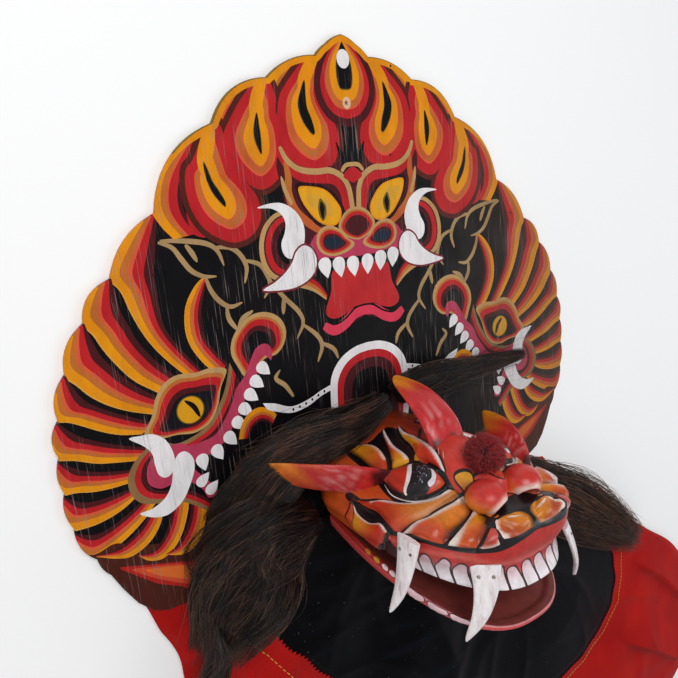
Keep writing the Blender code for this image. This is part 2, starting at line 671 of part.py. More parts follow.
HORN_SPINE = ((0.0, -0.092, 0.126), (0.0, -0.066, 0.113), (0.0, -0.044, 0.083), (0.0, -0.031, 0.045))
EARS = {
    # spine from foot to tip, and the direction of the blade's width
    "ear_left": (((-0.062, -0.117, 0.092), (-0.095, -0.106, 0.082), (-0.132, -0.098, 0.058),
                  (-0.166, -0.090, 0.020)), (0.0, 0.75, 0.65)),
    "ear_right": (((0.058, -0.128, 0.158), (0.076, -0.120, 0.135), (0.097, -0.108, 0.100),
                   (0.118, -0.100, 0.056)), (0.68, 0.69, 0.25)),
}
FRONT_FANG_SPINE = ((0.0515, -0.152, 0.2185), (0.0565, -0.172, 0.2230), (0.0640, -0.195, 0.2220),
                    (0.0735, -0.220, 0.2130))
REAR_FANG_SPINE = ((0.0920, -0.134, 0.1680), (0.0960, -0.158, 0.1660), (0.1000, -0.185, 0.1600),
                   (0.1045, -0.2125, 0.1480))
HORN_SIDE = (1.0, 0.0, 0.0)
FRONT_FANG_SIDE = (0.72, 0.0, -0.69)
REAR_FANG_SIDE = (0.12, 0.0, -0.99)


def flipped(points):
    return [(-x, y, z) for x, y, z in points]


def make_fixtures(collection, parent, cutter):
    """Horn, ears and fangs, each trimmed to sit on the head."""
    rings = blade_rings(HORN_SPINE, HORN_SIDE, HORN_WIDTH, HORN_THICKNESS, HORN_FORM,
                        BLADE_SIDES, BLADE_STEPS)
    trim(loft("horn", rings, None, HORN_SPINE[-1], collection, PAINT_RED, parent), cutter)
    for name, (spine, side) in EARS.items():
        rings = blade_rings(spine, side, EAR_WIDTH, EAR_THICKNESS, EAR_FORM,
                            BLADE_SIDES, BLADE_STEPS, EAR_HOLLOW)
        trim(loft(name, rings, None, spine[-1], collection, PAINT_RED, parent), cutter)
    for place, spine, side in (("front", FRONT_FANG_SPINE, FRONT_FANG_SIDE),
                               ("rear", REAR_FANG_SPINE, REAR_FANG_SIDE)):
        for hand, sign in (("left", -1), ("right", 1)):
            points = spine if sign > 0 else flipped(spine)
            hint = (sign * side[0], side[1], side[2])
            rings = blade_rings(points, hint, FANG_WIDTH, FANG_THICKNESS, FANG_FORM,
                                FANG_SIDES, FANG_STEPS)
            name = "fang_%s_%s" % (place, hand)
            trim(loft(name, rings, None, points[-1], collection, PAINT_WHITE, parent), cutter)


POM_POM_PLACE = (0.0, -0.082, 0.1725)


def make_pom_pom(collection, parent, cutter):
    shape = bmesh.new()
    bmesh.ops.create_icosphere(shape, subdivisions=3, radius=POM_POM_RADIUS)
    for vertex in shape.verts:
        direction = vertex.co.normalized()
        tuft = math.prod(math.sin(wave * value) for wave, value in zip(TUFT_WAVES, direction))
        vertex.co += direction * TUFT_HEIGHT * POM_POM_RADIUS * tuft
    mesh = mesh_from_bmesh("pom_pom", shape)
    ball = add_object("pom_pom", mesh, collection, YARN_RED, parent)
    ball.location = POM_POM_PLACE
    trim(ball, cutter)


# Hair, as bundles with deep locks that lie on the board and the cloth
LEVEL_SIDE = (0.35, 1.0, 0.0)   # a bundle is wide along the ground, at right angles to its spine
LOCK_DEPTH = 0.11           # height of a lock's ridge as a share of the bundle
LOCK_WINDING = 2.2          # turn of the locks along a bundle, in radians
HANK_SIDES = 14
HANK_SHARES = (0.02, 0.14, 0.26, 0.38, 0.50, 0.62, 0.74, 0.86, 0.97)


def hank_rings(spine, half_widths, half_heights, locks, floor_height):
    """Rings of a hair bundle; its sections carry ridges that wind slowly along the bundle."""
    keys = np.linspace(0.0, 1.0, len(half_widths))
    rings = []
    for share in HANK_SHARES:
        place, side, face = spine_frame(spine, share, LEVEL_SIDE)
        if face.z < 0:
            side, face = -side, -face
        wide = float(through_keys(keys, half_widths, share))
        high = float(through_keys(keys, half_heights, share))
        ring = []
        for k in range(HANK_SIDES):
            angle = 2 * math.pi * k / HANK_SIDES
            ridge = 1.0 + LOCK_DEPTH * math.cos(locks * angle + LOCK_WINDING * share)
            point = place + side * math.cos(angle) * wide * ridge + face * math.sin(angle) * high * ridge
            point.z = max(point.z, floor_height)
            ring.append(point)
        rings.append(ring)
    return rings


HAIR_BUNDLES = {
    # spine, half widths, half heights, locks, look
    "crown_hair_left": (
        ((-0.012, -0.056, 0.026), (-0.062, -0.058, 0.024), (-0.120, -0.066, 0.020), (-0.176, -0.088, 0.015)),
        (0.014, 0.021, 0.024, 0.016), (0.012, 0.014, 0.012, 0.007), 5, HAIR_DARK),
    "crown_hair_right": (
        ((0.014, -0.056, 0.026), (0.070, -0.056, 0.024), (0.140, -0.060, 0.018), (0.240, -0.064, 0.012)),
        (0.014, 0.020, 0.016, 0.004), (0.012, 0.014, 0.010, 0.004), 5, HAIR_DARK),
    "side_hair_left": (
        ((-0.108, -0.158, 0.032), (-0.158, -0.172, 0.034), (-0.196, -0.212, 0.032), (-0.232, -0.270, 0.024)),
        (0.014, 0.046, 0.052, 0.024), (0.014, 0.020, 0.020, 0.010), 6, HAIR_DARK),
    "side_hair_right": (
        ((0.112, -0.160, 0.044), (0.210, -0.225, 0.044), (0.345, -0.320, 0.036), (0.490, -0.430, 0.022)),
        (0.016, 0.038, 0.050, 0.022), (0.016, 0.028, 0.026, 0.010), 6, HAIR_BROWN),
}


def make_hair(collection, cutter):
    resting = BOARD_THICKNESS + GAP
    over_cloth = resting + CLOTH_THICKNESS + 2 * GAP
    for name, (spine, half_widths, half_heights, locks, look) in HAIR_BUNDLES.items():
        lowest = over_cloth if name.startswith("side") else resting
        rings = hank_rings(spine, half_widths, half_heights, locks, lowest)
        trim(loft(name, rings, spine[0], spine[-1], collection, look), cutter)


# Cloth, as thin solids over the board's lower edge and the ground. The black panel is a ring of
# points round its middle; the red cloth runs round it from the board's left corner to its right.
CLOTH_BLACK_EDGE = (
    (0.000, -0.180), (-0.110, -0.184), (-0.165, -0.209), (-0.192, -0.266), (-0.158, -0.318),
    (-0.124, -0.366), (-0.070, -0.440), (0.020, -0.524), (0.130, -0.592), (0.245, -0.628),
    (0.345, -0.622), (0.408, -0.594), (0.456, -0.553), (0.472, -0.499), (0.458, -0.435),
    (0.398, -0.356), (0.315, -0.282), (0.215, -0.209), (0.110, -0.184),
)
CLOTH_RED_EDGE = (
    (-0.283, -0.2155), (-0.262, -0.265), (-0.256, -0.320), (-0.225, -0.410), (-0.150, -0.520),
    (-0.030, -0.630), (0.110, -0.725), (0.280, -0.800), (0.470, -0.835), (0.640, -0.810),
    (0.705, -0.720), (0.700, -0.610), (0.640, -0.515), (0.550, -0.445), (0.440, -0.362),
    (0.330, -0.280), (0.290, -0.2300),
)
CLOTH_BLACK_MIDDLE = (0.13, -0.40)
BLACK_RINGS = (0.0, 0.10, 0.36, 0.68)       # share of the way in from the edge, ring by ring
RED_ROWS = (0.0, 0.12, 0.45, 0.80, 1.0)     # share of the way out from the black panel, row by row
CLOTH_STEPS = 38            # points round the black panel
RED_START = 5               # point where the red cloth starts, on the left
RED_SEAM = 16               # point where its left and right panels meet
RED_END = 34                # point where it ends, on the right
RAMP_TOP = -0.262           # y down to which the black cloth keeps the board's level
RAMP_FOOT = -0.320
BOARD_CUT_GROWTH = 1.002    # the board's outline grows by this for the trim of the cloth


def closed_curve(points, share):
    """Point on a smooth closed curve through points, by share of their count."""
    count = len(points)
    wrapped = [points[k % count] for k in range(-2, count + 3)]
    keys = np.arange(-2, count + 3) / count
    xs = [point[0] for point in wrapped]
    ys = [point[1] for point in wrapped]
    return np.array([float(through_keys(keys, xs, share % 1.0)), float(through_keys(keys, ys, share % 1.0))])


def open_curve(points, share):
    keys = np.linspace(0.0, 1.0, len(points))
    return np.array([float(through_keys(keys, [point[axis] for point in points], share)) for axis in (0, 1)])


def cloth_level(y, over_board):
    """Height of a flat cloth's top: on the board, sloping down past its lower edge, on the ground."""
    if not over_board:
        return CLOTH_THICKNESS
    return CLOTH_THICKNESS + (BOARD_THICKNESS + GAP) * float(smoothstep(RAMP_FOOT, RAMP_TOP, y))


def fold(x, y, edge_share):
    """Height of the soft folds that run out from the head, flat near every edge."""
    run_x, run_y = x - FOLD_SOURCE[0], y - FOLD_SOURCE[1]
    away = math.hypot(run_x, run_y)
    wave = 0.5 + 0.5 * math.sin(FOLD_COUNT * math.atan2(run_y, run_x) + FOLD_PHASE + FOLD_TWIST * away)
    return FOLD_HEIGHT * wave * edge_share * float(smoothstep(FOLD_START, FOLD_FULL, away))


def sheet_solid(name, grid_points, edge_shares, closed, centre, collection, look):
    """Closed solid from the ground up to the cloth's top, over a grid of plan points in rings or strips."""
    shape = bmesh.new()
    layers = []
    for top in (True, False):
        rows = []
        for row, shares in zip(grid_points, edge_shares):
            line = []
            for (x, y), share in zip(row, shares):
                height = cloth_level(y, closed) + fold(x, y, share) if top else 0.0
                line.append(shape.verts.new((x, y, height)))
            rows.append(line)
        if centre is not None:
            x, y = centre
            height = cloth_level(y, closed) + fold(x, y, 1.0) if top else 0.0
            rows.append([shape.verts.new((x, y, height))])
        layers.append(rows)
    for rows in layers:
        for lower, upper in zip(rows, rows[1:]):
            if len(upper) == 1:
                for k in range(len(lower)):
                    shape.faces.new((lower[k], lower[(k + 1) % len(lower)], upper[0]))
            elif closed:
                quads(shape, lower + lower[:1], upper + upper[:1])
            else:
                quads(shape, lower, upper)
    above, below = layers
    if closed:
        quads(shape, above[0] + above[0][:1], below[0] + below[0][:1])
    else:
        quads(shape, above[0], below[0])
        quads(shape, above[-1], below[-1])
        for end in (0, -1):
            quads(shape, [row[end] for row in above], [row[end] for row in below])
    return add_object(name, mesh_from_bmesh(name, shape), collection, look)


def make_board_cutter(collection):
    """The board's outline, a little larger and thicker, that trims the cloth."""
    outline = [point * BOARD_CUT_GROWTH for point in crest_outline()]
    shape = bmesh.new()
    bottom = [shape.verts.new((point.x, point.y, -BOARD_THICKNESS)) for point in outline]
    foot = shape.faces.new(bottom)
    grown = bmesh.ops.extrude_face_region(shape, geom=[foot])
    for item in grown["geom"]:
        if isinstance(item, bmesh.types.BMVert):
            item.co.z = BOARD_THICKNESS + GAP
    return as_cutter(add_object("board_cutter", mesh_from_bmesh("board_cutter", shape), collection))


def red_rows(first, last, middle):
    """Plan points of one red panel between two points of the black edge, row by row outwards."""
    rows = []
    for across in RED_ROWS:
        line = []
        for step in range(first, last + 1):
            inside = closed_curve(CLOTH_BLACK_EDGE, step / CLOTH_STEPS)
            ahead = closed_curve(CLOTH_BLACK_EDGE, (step + 0.1) / CLOTH_STEPS) - inside
            outward = np.array((ahead[1], -ahead[0])) / np.linalg.norm(ahead)
            if outward @ (inside - middle) < 0:
                outward = -outward
            inside = inside + outward * CLOTH_GAP
            outside = open_curve(CLOTH_RED_EDGE, (step - RED_START) / (RED_END - RED_START))
            line.append(inside + (outside - inside) * across)
        rows.append(line)
    return rows


def make_cloth(collection, cutter):
    middle = np.array(CLOTH_BLACK_MIDDLE)
    edge = [closed_curve(CLOTH_BLACK_EDGE, k / CLOTH_STEPS) for k in range(CLOTH_STEPS)]
    rings = [[point + (middle - point) * inward for point in edge] for inward in BLACK_RINGS]
    shares = [[min(level, 2) / 2] * CLOTH_STEPS for level in range(len(BLACK_RINGS))]
    black = sheet_solid("cloth_black", rings, shares, True, CLOTH_BLACK_MIDDLE, collection, SATIN_BLACK)
    trim(black, cutter)
    for name, first, last, shift in (("cloth_red_left", RED_START, RED_SEAM, 0.0),
                                     ("cloth_red_right", RED_SEAM, RED_END, CLOTH_GAP)):
        rows = red_rows(first, last, middle)
        for line in rows:
            line[0] = line[0] + np.array((shift, 0.0))
        run = last - first
        along = [math.sqrt(math.sin(math.pi * step / run)) for step in range(run)] + [0.0]
        shares = [[4 * across * (1 - across) * share for share in along] for across in RED_ROWS]
        trim(sheet_solid(name, rows, shares, False, None, collection, CLOTH_RED), cutter)


def main():
    clear_scene()
    pieces = new_collection("barongan_mask")
    cutters = new_collection("cutters")
    face = bpy.data.objects.new("board_face", None)
    face.location = (0.0, 0.0, BOARD_THICKNESS)
    pieces.objects.link(face)
    make_crest_board(pieces)
    carving = make_carving("carving", cutters, face, 0.0)
    cutter = make_head_cutter(cutters, face, make_carving("carving_grown", cutters, face, FIXTURE_GAP))
    make_head(pieces, face, carving, make_nostrils(cutters, face))
    make_jaw(pieces, face)
    make_fixtures(pieces, face, cutter)
    make_pom_pom(pieces, face, cutter)
    make_hair(pieces, cutter)
    make_cloth(pieces, make_board_cutter(cutters))


main()
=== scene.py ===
# %% [markdown]
# # Barongan mask
# A barongan is a dance mask: a carved wooden head with a jaw that claps, set on a flat painted crest
# board and dressed with hair and cloth. Here it lies on its back, as it is put down after a dance.
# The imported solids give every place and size. This file gives each piece its form and its finish.

# %% Load the frame
import bpy
import math
import numpy as np
from mathutils import Matrix, Vector
from mathutils.geometry import delaunay_2d_cdt


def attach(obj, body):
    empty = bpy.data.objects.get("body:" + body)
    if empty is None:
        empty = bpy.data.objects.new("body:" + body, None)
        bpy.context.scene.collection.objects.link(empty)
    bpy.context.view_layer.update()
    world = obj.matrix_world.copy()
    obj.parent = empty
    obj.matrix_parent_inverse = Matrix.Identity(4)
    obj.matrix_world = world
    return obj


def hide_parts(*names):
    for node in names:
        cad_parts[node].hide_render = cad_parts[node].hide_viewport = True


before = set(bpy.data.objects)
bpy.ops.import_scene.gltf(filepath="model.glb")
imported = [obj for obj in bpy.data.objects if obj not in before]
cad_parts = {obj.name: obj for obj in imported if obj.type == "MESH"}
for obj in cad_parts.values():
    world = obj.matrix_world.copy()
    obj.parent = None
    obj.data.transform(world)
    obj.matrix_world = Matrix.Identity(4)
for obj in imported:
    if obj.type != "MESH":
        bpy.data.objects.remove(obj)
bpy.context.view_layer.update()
bpy.ops.object.select_all(action="DESELECT")

# %% [markdown]
# ## Camera, light and floor
# The camera stands where the photographer stood: above the near side of the board and turned a
# little, so that the crest rises to the left and the snout points at the lens. Three large soft
# lamps give the even light of a studio. A smaller lamp would leave hard glints on the enamel.

# %% Camera
CAMERA_PLACE = (-0.40031, 0.16551, 0.57616)
CAMERA_FORWARD = Vector((0.52396, -0.22263, -0.82213)).normalized()
CAMERA_UP = Vector((0.19984, 0.97042, -0.13542))
LENS_MM = 33.98
SENSOR_MM = 36.0

camera_data = bpy.data.cameras.new("camera")
camera_data.lens = LENS_MM
camera_data.sensor_width = SENSOR_MM
camera = bpy.data.objects.new("camera", camera_data)
bpy.context.scene.collection.objects.link(camera)
across = CAMERA_FORWARD.cross(CAMERA_UP).normalized()
upward = across.cross(CAMERA_FORWARD)
camera.matrix_world = Matrix.Translation(CAMERA_PLACE) @ Matrix(
    (across, upward, -CAMERA_FORWARD)).transposed().to_4x4()
bpy.context.scene.camera = camera
print("camera at", CAMERA_PLACE)

# %% Light and floor
def soft_lamp(name, place, aim, size, power, colour=(1.0, 1.0, 1.0)):
    lamp = bpy.data.lights.new(name, "AREA")
    lamp.shape = "DISK"
    lamp.size = size
    lamp.energy = power
    lamp.color = colour
    stand = bpy.data.objects.new(name, lamp)
    stand.location = place
    stand.rotation_euler = (Vector(aim) - Vector(place)).to_track_quat("-Z", "Y").to_euler()
    bpy.context.scene.collection.objects.link(stand)


soft_lamp("key_lamp", (-0.5, 1.0, 1.7), (0.05, 0.0, 0.0), 1.1, 20.0)
soft_lamp("fill_lamp", (-1.4, -0.9, 1.1), (0.0, -0.1, 0.05), 1.4, 6.0, (1.0, 0.97, 0.94))
soft_lamp("side_lamp", (1.5, -0.2, 1.3), (0.1, -0.1, 0.05), 1.2, 8.0, (0.95, 0.98, 1.0))
world = bpy.data.worlds.new("studio")
world.use_nodes = True
sky = world.node_tree.nodes["Background"].inputs
sky["Color"].default_value = (0.95, 0.97, 1.0, 1.0)
sky["Strength"].default_value = 0.30
bpy.context.scene.world = world
bpy.context.scene.view_settings.view_transform = "Standard"

FLOOR_DROP, FLOOR_SIZE = 0.0006, 8.0
FLOOR_PAINT = {"Base Color": (0.90, 0.90, 0.90, 1.0), "Emission Color": (1.0, 1.0, 1.0, 1.0),
               "Emission Strength": 0.14, "Roughness": 0.7}
bpy.ops.mesh.primitive_plane_add(size=FLOOR_SIZE, location=(0.0, 0.0, -FLOOR_DROP))
floor = bpy.context.object
floor.name = "floor"
floor_paint = bpy.data.materials.new("floor_paint")
floor_paint.use_nodes = True
for socket, value in FLOOR_PAINT.items():
    floor_paint.node_tree.nodes["Principled BSDF"].inputs[socket].default_value = value
floor.data.materials.append(floor_paint)
bpy.ops.object.select_all(action="DESELECT")
print("three lamps and a floor")

# %% [markdown]
# ## Node helpers
# Each finish is a small tree of nodes: a noise or wave pattern, a ramp that turns it into colours,
# and a bump. The helpers below add one node and wire it, so that every finish stays a few lines.
# A paint is written as a code of six hexadecimal digits and a grey as one number.

# %% Node helpers
def finish_of(name, roughness=0.5, specular=0.5):
    """A new material, its tree and its shader."""
    made = bpy.data.materials.new(name)
    made.use_nodes = True
    shader = made.node_tree.nodes["Principled BSDF"]
    shader.inputs["Roughness"].default_value = roughness
    shader.inputs["Specular IOR Level"].default_value = specular
    return made, made.node_tree, shader


def add_node(tree, kind, inputs=None, **settings):
    """One node; an input is either a value or the output socket that feeds it."""
    node = tree.nodes.new(kind)
    for key, value in settings.items():
        setattr(node, key, value)
    for key, value in (inputs or {}).items():
        if isinstance(value, bpy.types.NodeSocket):
            tree.links.new(value, node.inputs[key])
        else:
            node.inputs[key].default_value = value
    return node


def object_pattern(tree, kind, stretch=(1.0, 1.0, 1.0), turn=(0.0, 0.0, 0.0), **inputs):
    """A texture node on Object coordinates, stretched and turned by a Mapping node."""
    place = add_node(tree, "ShaderNodeTexCoord")
    lay = add_node(tree, "ShaderNodeMapping", {"Vector": place.outputs["Object"], "Scale": stretch,
                                               "Rotation": turn})
    return add_node(tree, kind, {"Vector": lay.outputs["Vector"], **inputs})


def noise(tree, stretch, detail=2.0, roughness=0.5, turn=0.0):
    """Strength of a noise; stretch is one number or one for each axis, and turn is about Z."""
    stretch = stretch if isinstance(stretch, tuple) else (stretch,) * 3
    return object_pattern(tree, "ShaderNodeTexNoise", stretch, (0.0, 0.0, turn), Scale=1.0, Detail=detail,
                          Roughness=roughness).outputs["Fac"]


def wave(tree, stretch, turn, distortion, detail=2.0):
    """Strength of a wave pattern, as threads and twisted yarn have."""
    return object_pattern(tree, "ShaderNodeTexWave", (stretch,) * 3, (0.0, 0.0, turn), Scale=1.0,
                          Distortion=distortion, Detail=detail).outputs["Fac"]


def ink(paint):
    """Linear colour from a paint's code; a colour that is given as numbers stays as it is."""
    if not isinstance(paint, str):
        return paint
    parts = np.array([int(paint[k:k + 2], 16) for k in (0, 2, 4)]) / 255.0
    return np.where(parts <= 0.04045, parts / 12.92, ((parts + 0.055) / 1.055) ** 2.4)


def ramp(tree, source, *stops):
    """Colour ramp; each stop is a place and a paint: a code, three numbers or one grey."""
    node = add_node(tree, "ShaderNodeValToRGB", {"Fac": source})
    band = node.color_ramp
    while len(band.elements) < len(stops):
        band.elements.new(0.5)
    for element, (position, colour) in zip(band.elements, stops):
        element.position = position
        element.color = (colour, colour, colour, 1.0) if isinstance(colour, float) else (*ink(colour), 1.0)
    return node.outputs["Color"]


def mix_colour(tree, factor, first, second, mode="MIX"):
    """Mix node; the factor and both colours are values or sockets."""
    node = add_node(tree, "ShaderNodeMix", data_type="RGBA", blend_type=mode)
    for socket, value in ((node.inputs[0], factor), (node.inputs[6], first), (node.inputs[7], second)):
        if isinstance(value, bpy.types.NodeSocket):
            tree.links.new(value, socket)
        else:
            socket.default_value = (*value, 1.0) if isinstance(value, tuple) else value
    return node.outputs[2]


def bump(tree, height, strength, distance, shader, under=None):
    """Bump on a shader, over the normal of another bump if one is given."""
    node = add_node(tree, "ShaderNodeBump", {"Height": height, "Strength": strength, "Distance": distance})
    if under is not None:
        tree.links.new(under, node.inputs["Normal"])
    tree.links.new(node.outputs["Normal"], shader.inputs["Normal"])
    return node.outputs["Normal"]


print("node helpers ready")

# %% [markdown]
# ## Painted surfaces
# The crest and the head are painted by hand in flat enamels with crisp edges. A colour per point of
# an even mesh would blur each edge, and an image isn't wanted here. So each stroke of paint is an
# outline, a triangulation is made that has all outlines among its edges, and every triangle takes
# the colour of the topmost stroke over it. Borders stay crisp from any distance. The points of an
# outline are written as text, x,y after x,y, which keeps a long outline short to read.

# %% Curves and strokes
def points_of(text):
    """Pairs of numbers from text such as 12,40 15,38."""
    return [tuple(float(number) for number in point.split(",")) for point in text.split()]


def mm(points):
    """Points in metres from points in millimetres, as text or as pairs."""
    points = points_of(points) if isinstance(points, str) else points
    return [(x / 1000.0, y / 1000.0) for x, y in points]


def smooth_curve(points, closed=True, steps=8):
    """Catmull-Rom curve through points."""
    points = np.asarray(points, float)
    if closed:
        ring = np.vstack([points[-1], points, points[:2]])
    else:
        ring = np.vstack([2 * points[0] - points[1], points, 2 * points[-1] - points[-2]])
    t = np.linspace(0.0, 1.0, steps, endpoint=False)[:, None]
    parts = []
    for a, b, c, d in zip(ring, ring[1:], ring[2:], ring[3:]):
        parts.append(0.5 * (2 * b + (c - a) * t + (2 * a - 5 * b + 4 * c - d) * t ** 2
                            + (3 * b - a - 3 * c + d) * t ** 3))
    if not closed:
        parts.append(points[-1:])
    return np.vstack(parts)


def run_along(line):
    """Length along a line up to each of its points."""
    return np.concatenate([[0.0], np.cumsum(np.linalg.norm(np.diff(line, axis=0), axis=1))])


def spaced(points, count, closed=False):
    """The same curve with points at even distances."""
    points = np.asarray(points, float)
    if closed:
        points = np.vstack([points, points[:1]])
    run = run_along(points)
    wanted = np.linspace(0.0, run[-1], count + 1)[:-1] if closed else np.linspace(0.0, run[-1], count)
    return np.stack([np.interp(wanted, run, points[:, k]) for k in range(points.shape[1])], axis=1)


def normals_of(line):
    """Unit directions to the left of a line."""
    along = np.gradient(line, axis=0)
    along /= np.maximum(np.linalg.norm(along, axis=1, keepdims=True), 1e-9)
    return np.stack([-along[:, 1], along[:, 0]], axis=1)


def stroke(points, width, start=0.25, end=0.25, power=0.6):
    """Outline of a brush stroke along a curve; start and end are its width left there."""
    line = spaced(smooth_curve(points, closed=False), 6 * len(points))
    t = np.linspace(0.0, 1.0, len(line))
    swell = np.sin(np.pi * t) ** power
    half = width / 2 * (swell + (1 - swell) * (start + (end - start) * t))
    side = normals_of(line) * half[:, None]
    return np.vstack([line + side, (line - side)[::-1]])


def filled(points, colour):
    """A stroke that fills a smooth closed outline given in millimetres."""
    return smooth_curve(mm(points)), colour


def turned(x, y, a, b, turn):
    """Points a along and b across, turned by some degrees and moved to a place."""
    turn = math.radians(turn)
    return np.stack([x + a * math.cos(turn) - b * math.sin(turn),
                     y + a * math.sin(turn) + b * math.cos(turn)], axis=1)


def oval(x, y, wide, high, turn=0.0, steps=28):
    angle = np.linspace(0.0, 2 * np.pi, steps, endpoint=False)
    return turned(x, y, wide * np.cos(angle), high * np.sin(angle), turn)


def drop(x, y, long, wide, turn):
    """A pointed tooth: round at its root and drawn out towards its tip."""
    t = np.linspace(0.0, 2 * np.pi, 26, endpoint=False)
    return turned(x, y, long * np.cos(t), wide * np.sin(t) * np.sin(t / 2) ** 1.1, turn)


def nest(outer, inner, bands, count=72):
    """Rings from an outer outline in to an inner one: each band is (share of the way in, colour)."""
    outer = spaced(smooth_curve(outer), count, closed=True)
    inner = spaced(smooth_curve(inner), count, closed=True)
    return [(outer + (inner - outer) * share, colour) for share, colour in bands]


def rings_between(outer, inner, bands, count=72):
    """Rings between two outlines that are curves already."""
    outer, inner = spaced(outer, count, closed=True), spaced(inner, count, closed=True)
    return [(outer * (1 - share) + inner * share, colour) for share, colour in bands]


def ribbon(first, second, bands, count=40):
    """Bands between two curves: each band is (from share, to share, colour)."""
    first = spaced(smooth_curve(first, closed=False), count)
    second = spaced(smooth_curve(second, closed=False), count)
    shapes = []
    for start, stop, colour in bands:
        a, b = first + (second - first) * start, first + (second - first) * stop
        shapes.append((np.vstack([a, b[::-1]]), colour))
    return shapes


def both_sides(shapes):
    """The shapes and their mirror images, in painting order."""
    made = []
    for outline, colour in shapes:
        made.append((outline, colour))
        made.append((outline * (-1, 1), colour))
    return made


def symmetric(points):
    """Closed outline from its right half, given top to bottom."""
    half = smooth_curve(points, closed=False)
    return np.vstack([half, (half * (-1, 1))[::-1][1:-1]])


def inset(outline, depth):
    """Closed outline moved inwards, counter-clockwise or clockwise alike."""
    after, before = np.roll(outline, -1, axis=0), np.roll(outline, 1, axis=0)
    along = after - before
    normal = np.stack([-along[:, 1], along[:, 0]], axis=1) / np.linalg.norm(along, axis=1)[:, None]
    around = (outline[:, 0] * after[:, 1] - after[:, 0] * outline[:, 1]).sum()
    return outline + normal * depth * (1.0 if around > 0 else -1.0)


print("curve helpers ready")

# %% Triangulation and colours
def inside(points, outline):
    """Which points lie inside a closed outline (even-odd rule)."""
    result = np.zeros(len(points), bool)
    low, high = outline.min(axis=0), outline.max(axis=0)
    near = np.nonzero(((points >= low) & (points <= high)).all(axis=1))[0]
    if len(near) == 0:
        return result
    x, y = points[near, 0], points[near, 1]
    flips = np.zeros(len(near), bool)
    for (ax, ay), (bx, by) in zip(outline, np.roll(outline, -1, axis=0)):
        if ay == by:
            continue
        crossed = (ay > y) != (by > y)
        flips ^= crossed & (x < ax + (y - ay) * (bx - ax) / (by - ay))
    result[near] = flips
    return result


def triangulate(borders, shapes, spacing):
    """Triangles over the borders' box with every border and stroke among their edges."""
    low = np.min([border.min(axis=0) for border in borders], axis=0)
    high = np.max([border.max(axis=0) for border in borders], axis=0)
    columns = np.arange(low[0] + spacing / 2, high[0], spacing)
    rows = np.arange(low[1] + spacing / 2, high[1], spacing)
    grid = np.stack(np.meshgrid(columns, rows), axis=2)
    grid[1::2, :, 0] += spacing / 2
    points = [grid.reshape(-1, 2)]
    edges, count = [], len(points[0])
    for outline in list(borders) + [outline for outline, _ in shapes]:
        numbers = np.arange(len(outline)) + count
        edges += list(zip(numbers.tolist(), np.roll(numbers, -1).tolist()))
        points.append(outline)
        count += len(outline)
    everything = np.vstack(points)
    found = delaunay_2d_cdt([Vector(point) for point in everything], edges, [], 0, 1e-6, False)
    places = np.array([tuple(point) for point in found[0]])
    return places, np.array(found[2])


def colours_of(places, triangles, shapes, ground):
    """Colour of each triangle's three corners: the topmost stroke over its middle."""
    middles = places[triangles].mean(axis=1)
    corners = places[triangles]
    paint = np.tile(np.asarray(ground, float), (len(triangles), 3, 1))
    for outline, colour in shapes:
        over = inside(middles, outline)
        if over.any():
            paint[over] = colour(corners[over]) if callable(colour) else ink(colour)
    return paint


def colour_layer(mesh, name, domain, colours):
    """A colour attribute: rows of three numbers, or one grey, for the corners or the points."""
    layer = mesh.color_attributes.new(name, "FLOAT_COLOR", domain)
    values = np.ones((len(layer.data), 4))
    values[:, :3] = colours
    layer.data.foreach_set("color", values.ravel())


def mesh_object(name, vertices, faces):
    mesh = bpy.data.meshes.new(name)
    mesh.from_pydata([tuple(vertex) for vertex in vertices], [], [tuple(face) for face in faces])
    mesh.update()
    made = bpy.data.objects.new(name, mesh)
    bpy.context.scene.collection.objects.link(made)
    return made


def select_only(piece):
    bpy.ops.object.select_all(action="DESELECT")
    piece.select_set(True)
    bpy.context.view_layer.objects.active = piece


def close_up(piece, merge=None):
    """Faces turned outwards, after doubles are merged where a distance is given."""
    select_only(piece)
    bpy.ops.object.mode_set(mode="EDIT")
    bpy.ops.mesh.select_all(action="SELECT")
    if merge is not None:
        bpy.ops.mesh.remove_doubles(threshold=merge)
        bpy.ops.mesh.dissolve_degenerate(threshold=merge / 10)
    bpy.ops.mesh.normals_make_consistent(inside=False)
    bpy.ops.object.mode_set(mode="OBJECT")


print("painting helpers ready")

# %% [markdown]
# ## Crest board
# The crest is a sheet of plywood about 6 mm thick, sawn to a scalloped outline and painted on a
# black ground: a fierce guardian face under a crown of flames, with a serpent's head and a fan of
# feathers on each side. All figures here are drawn anew in the traditional manner. The outline
# repeats the solid's, so the board fills the same space.

# %% Outline of the board
CREST_RISE = 0.32
BOARD_THICKNESS = 0.006
EDGE_ROUNDING = 0.0009
# Notches between the scallops: x and y as shares of the rise, and the bulge of the scallop after each.
NOTCHES = (
    (0.000, 1.000, 0.004), (0.057, 0.972, 0.003), (0.101, 0.936, 0.019), (0.280, 0.869, 0.036),
    (0.472, 0.744, 0.046), (0.676, 0.509, 0.026), (0.825, 0.347, 0.024), (0.914, 0.240, 0.020),
    (0.983, 0.113, 0.017), (1.021, -0.006, 0.016), (1.037, -0.108, 0.011), (1.041, -0.211, 0.012),
    (1.035, -0.318, 0.016), (0.992, -0.430, 0.006),
)
LOWER_CORNER = ((0.965, -0.490), (0.938, -0.550), (0.905, -0.610), (0.865, -0.655), (0.800, -0.685),
                (0.700, -0.710), (0.560, -0.728), (0.400, -0.735), (0.200, -0.735))
HAND_HOLE = (0.050, -0.082, -0.172)      # half width, top and foot
HANGING_HOLE = (0.0, 0.254, 0.0025)      # place and radius
SCALLOP_STEPS = 12


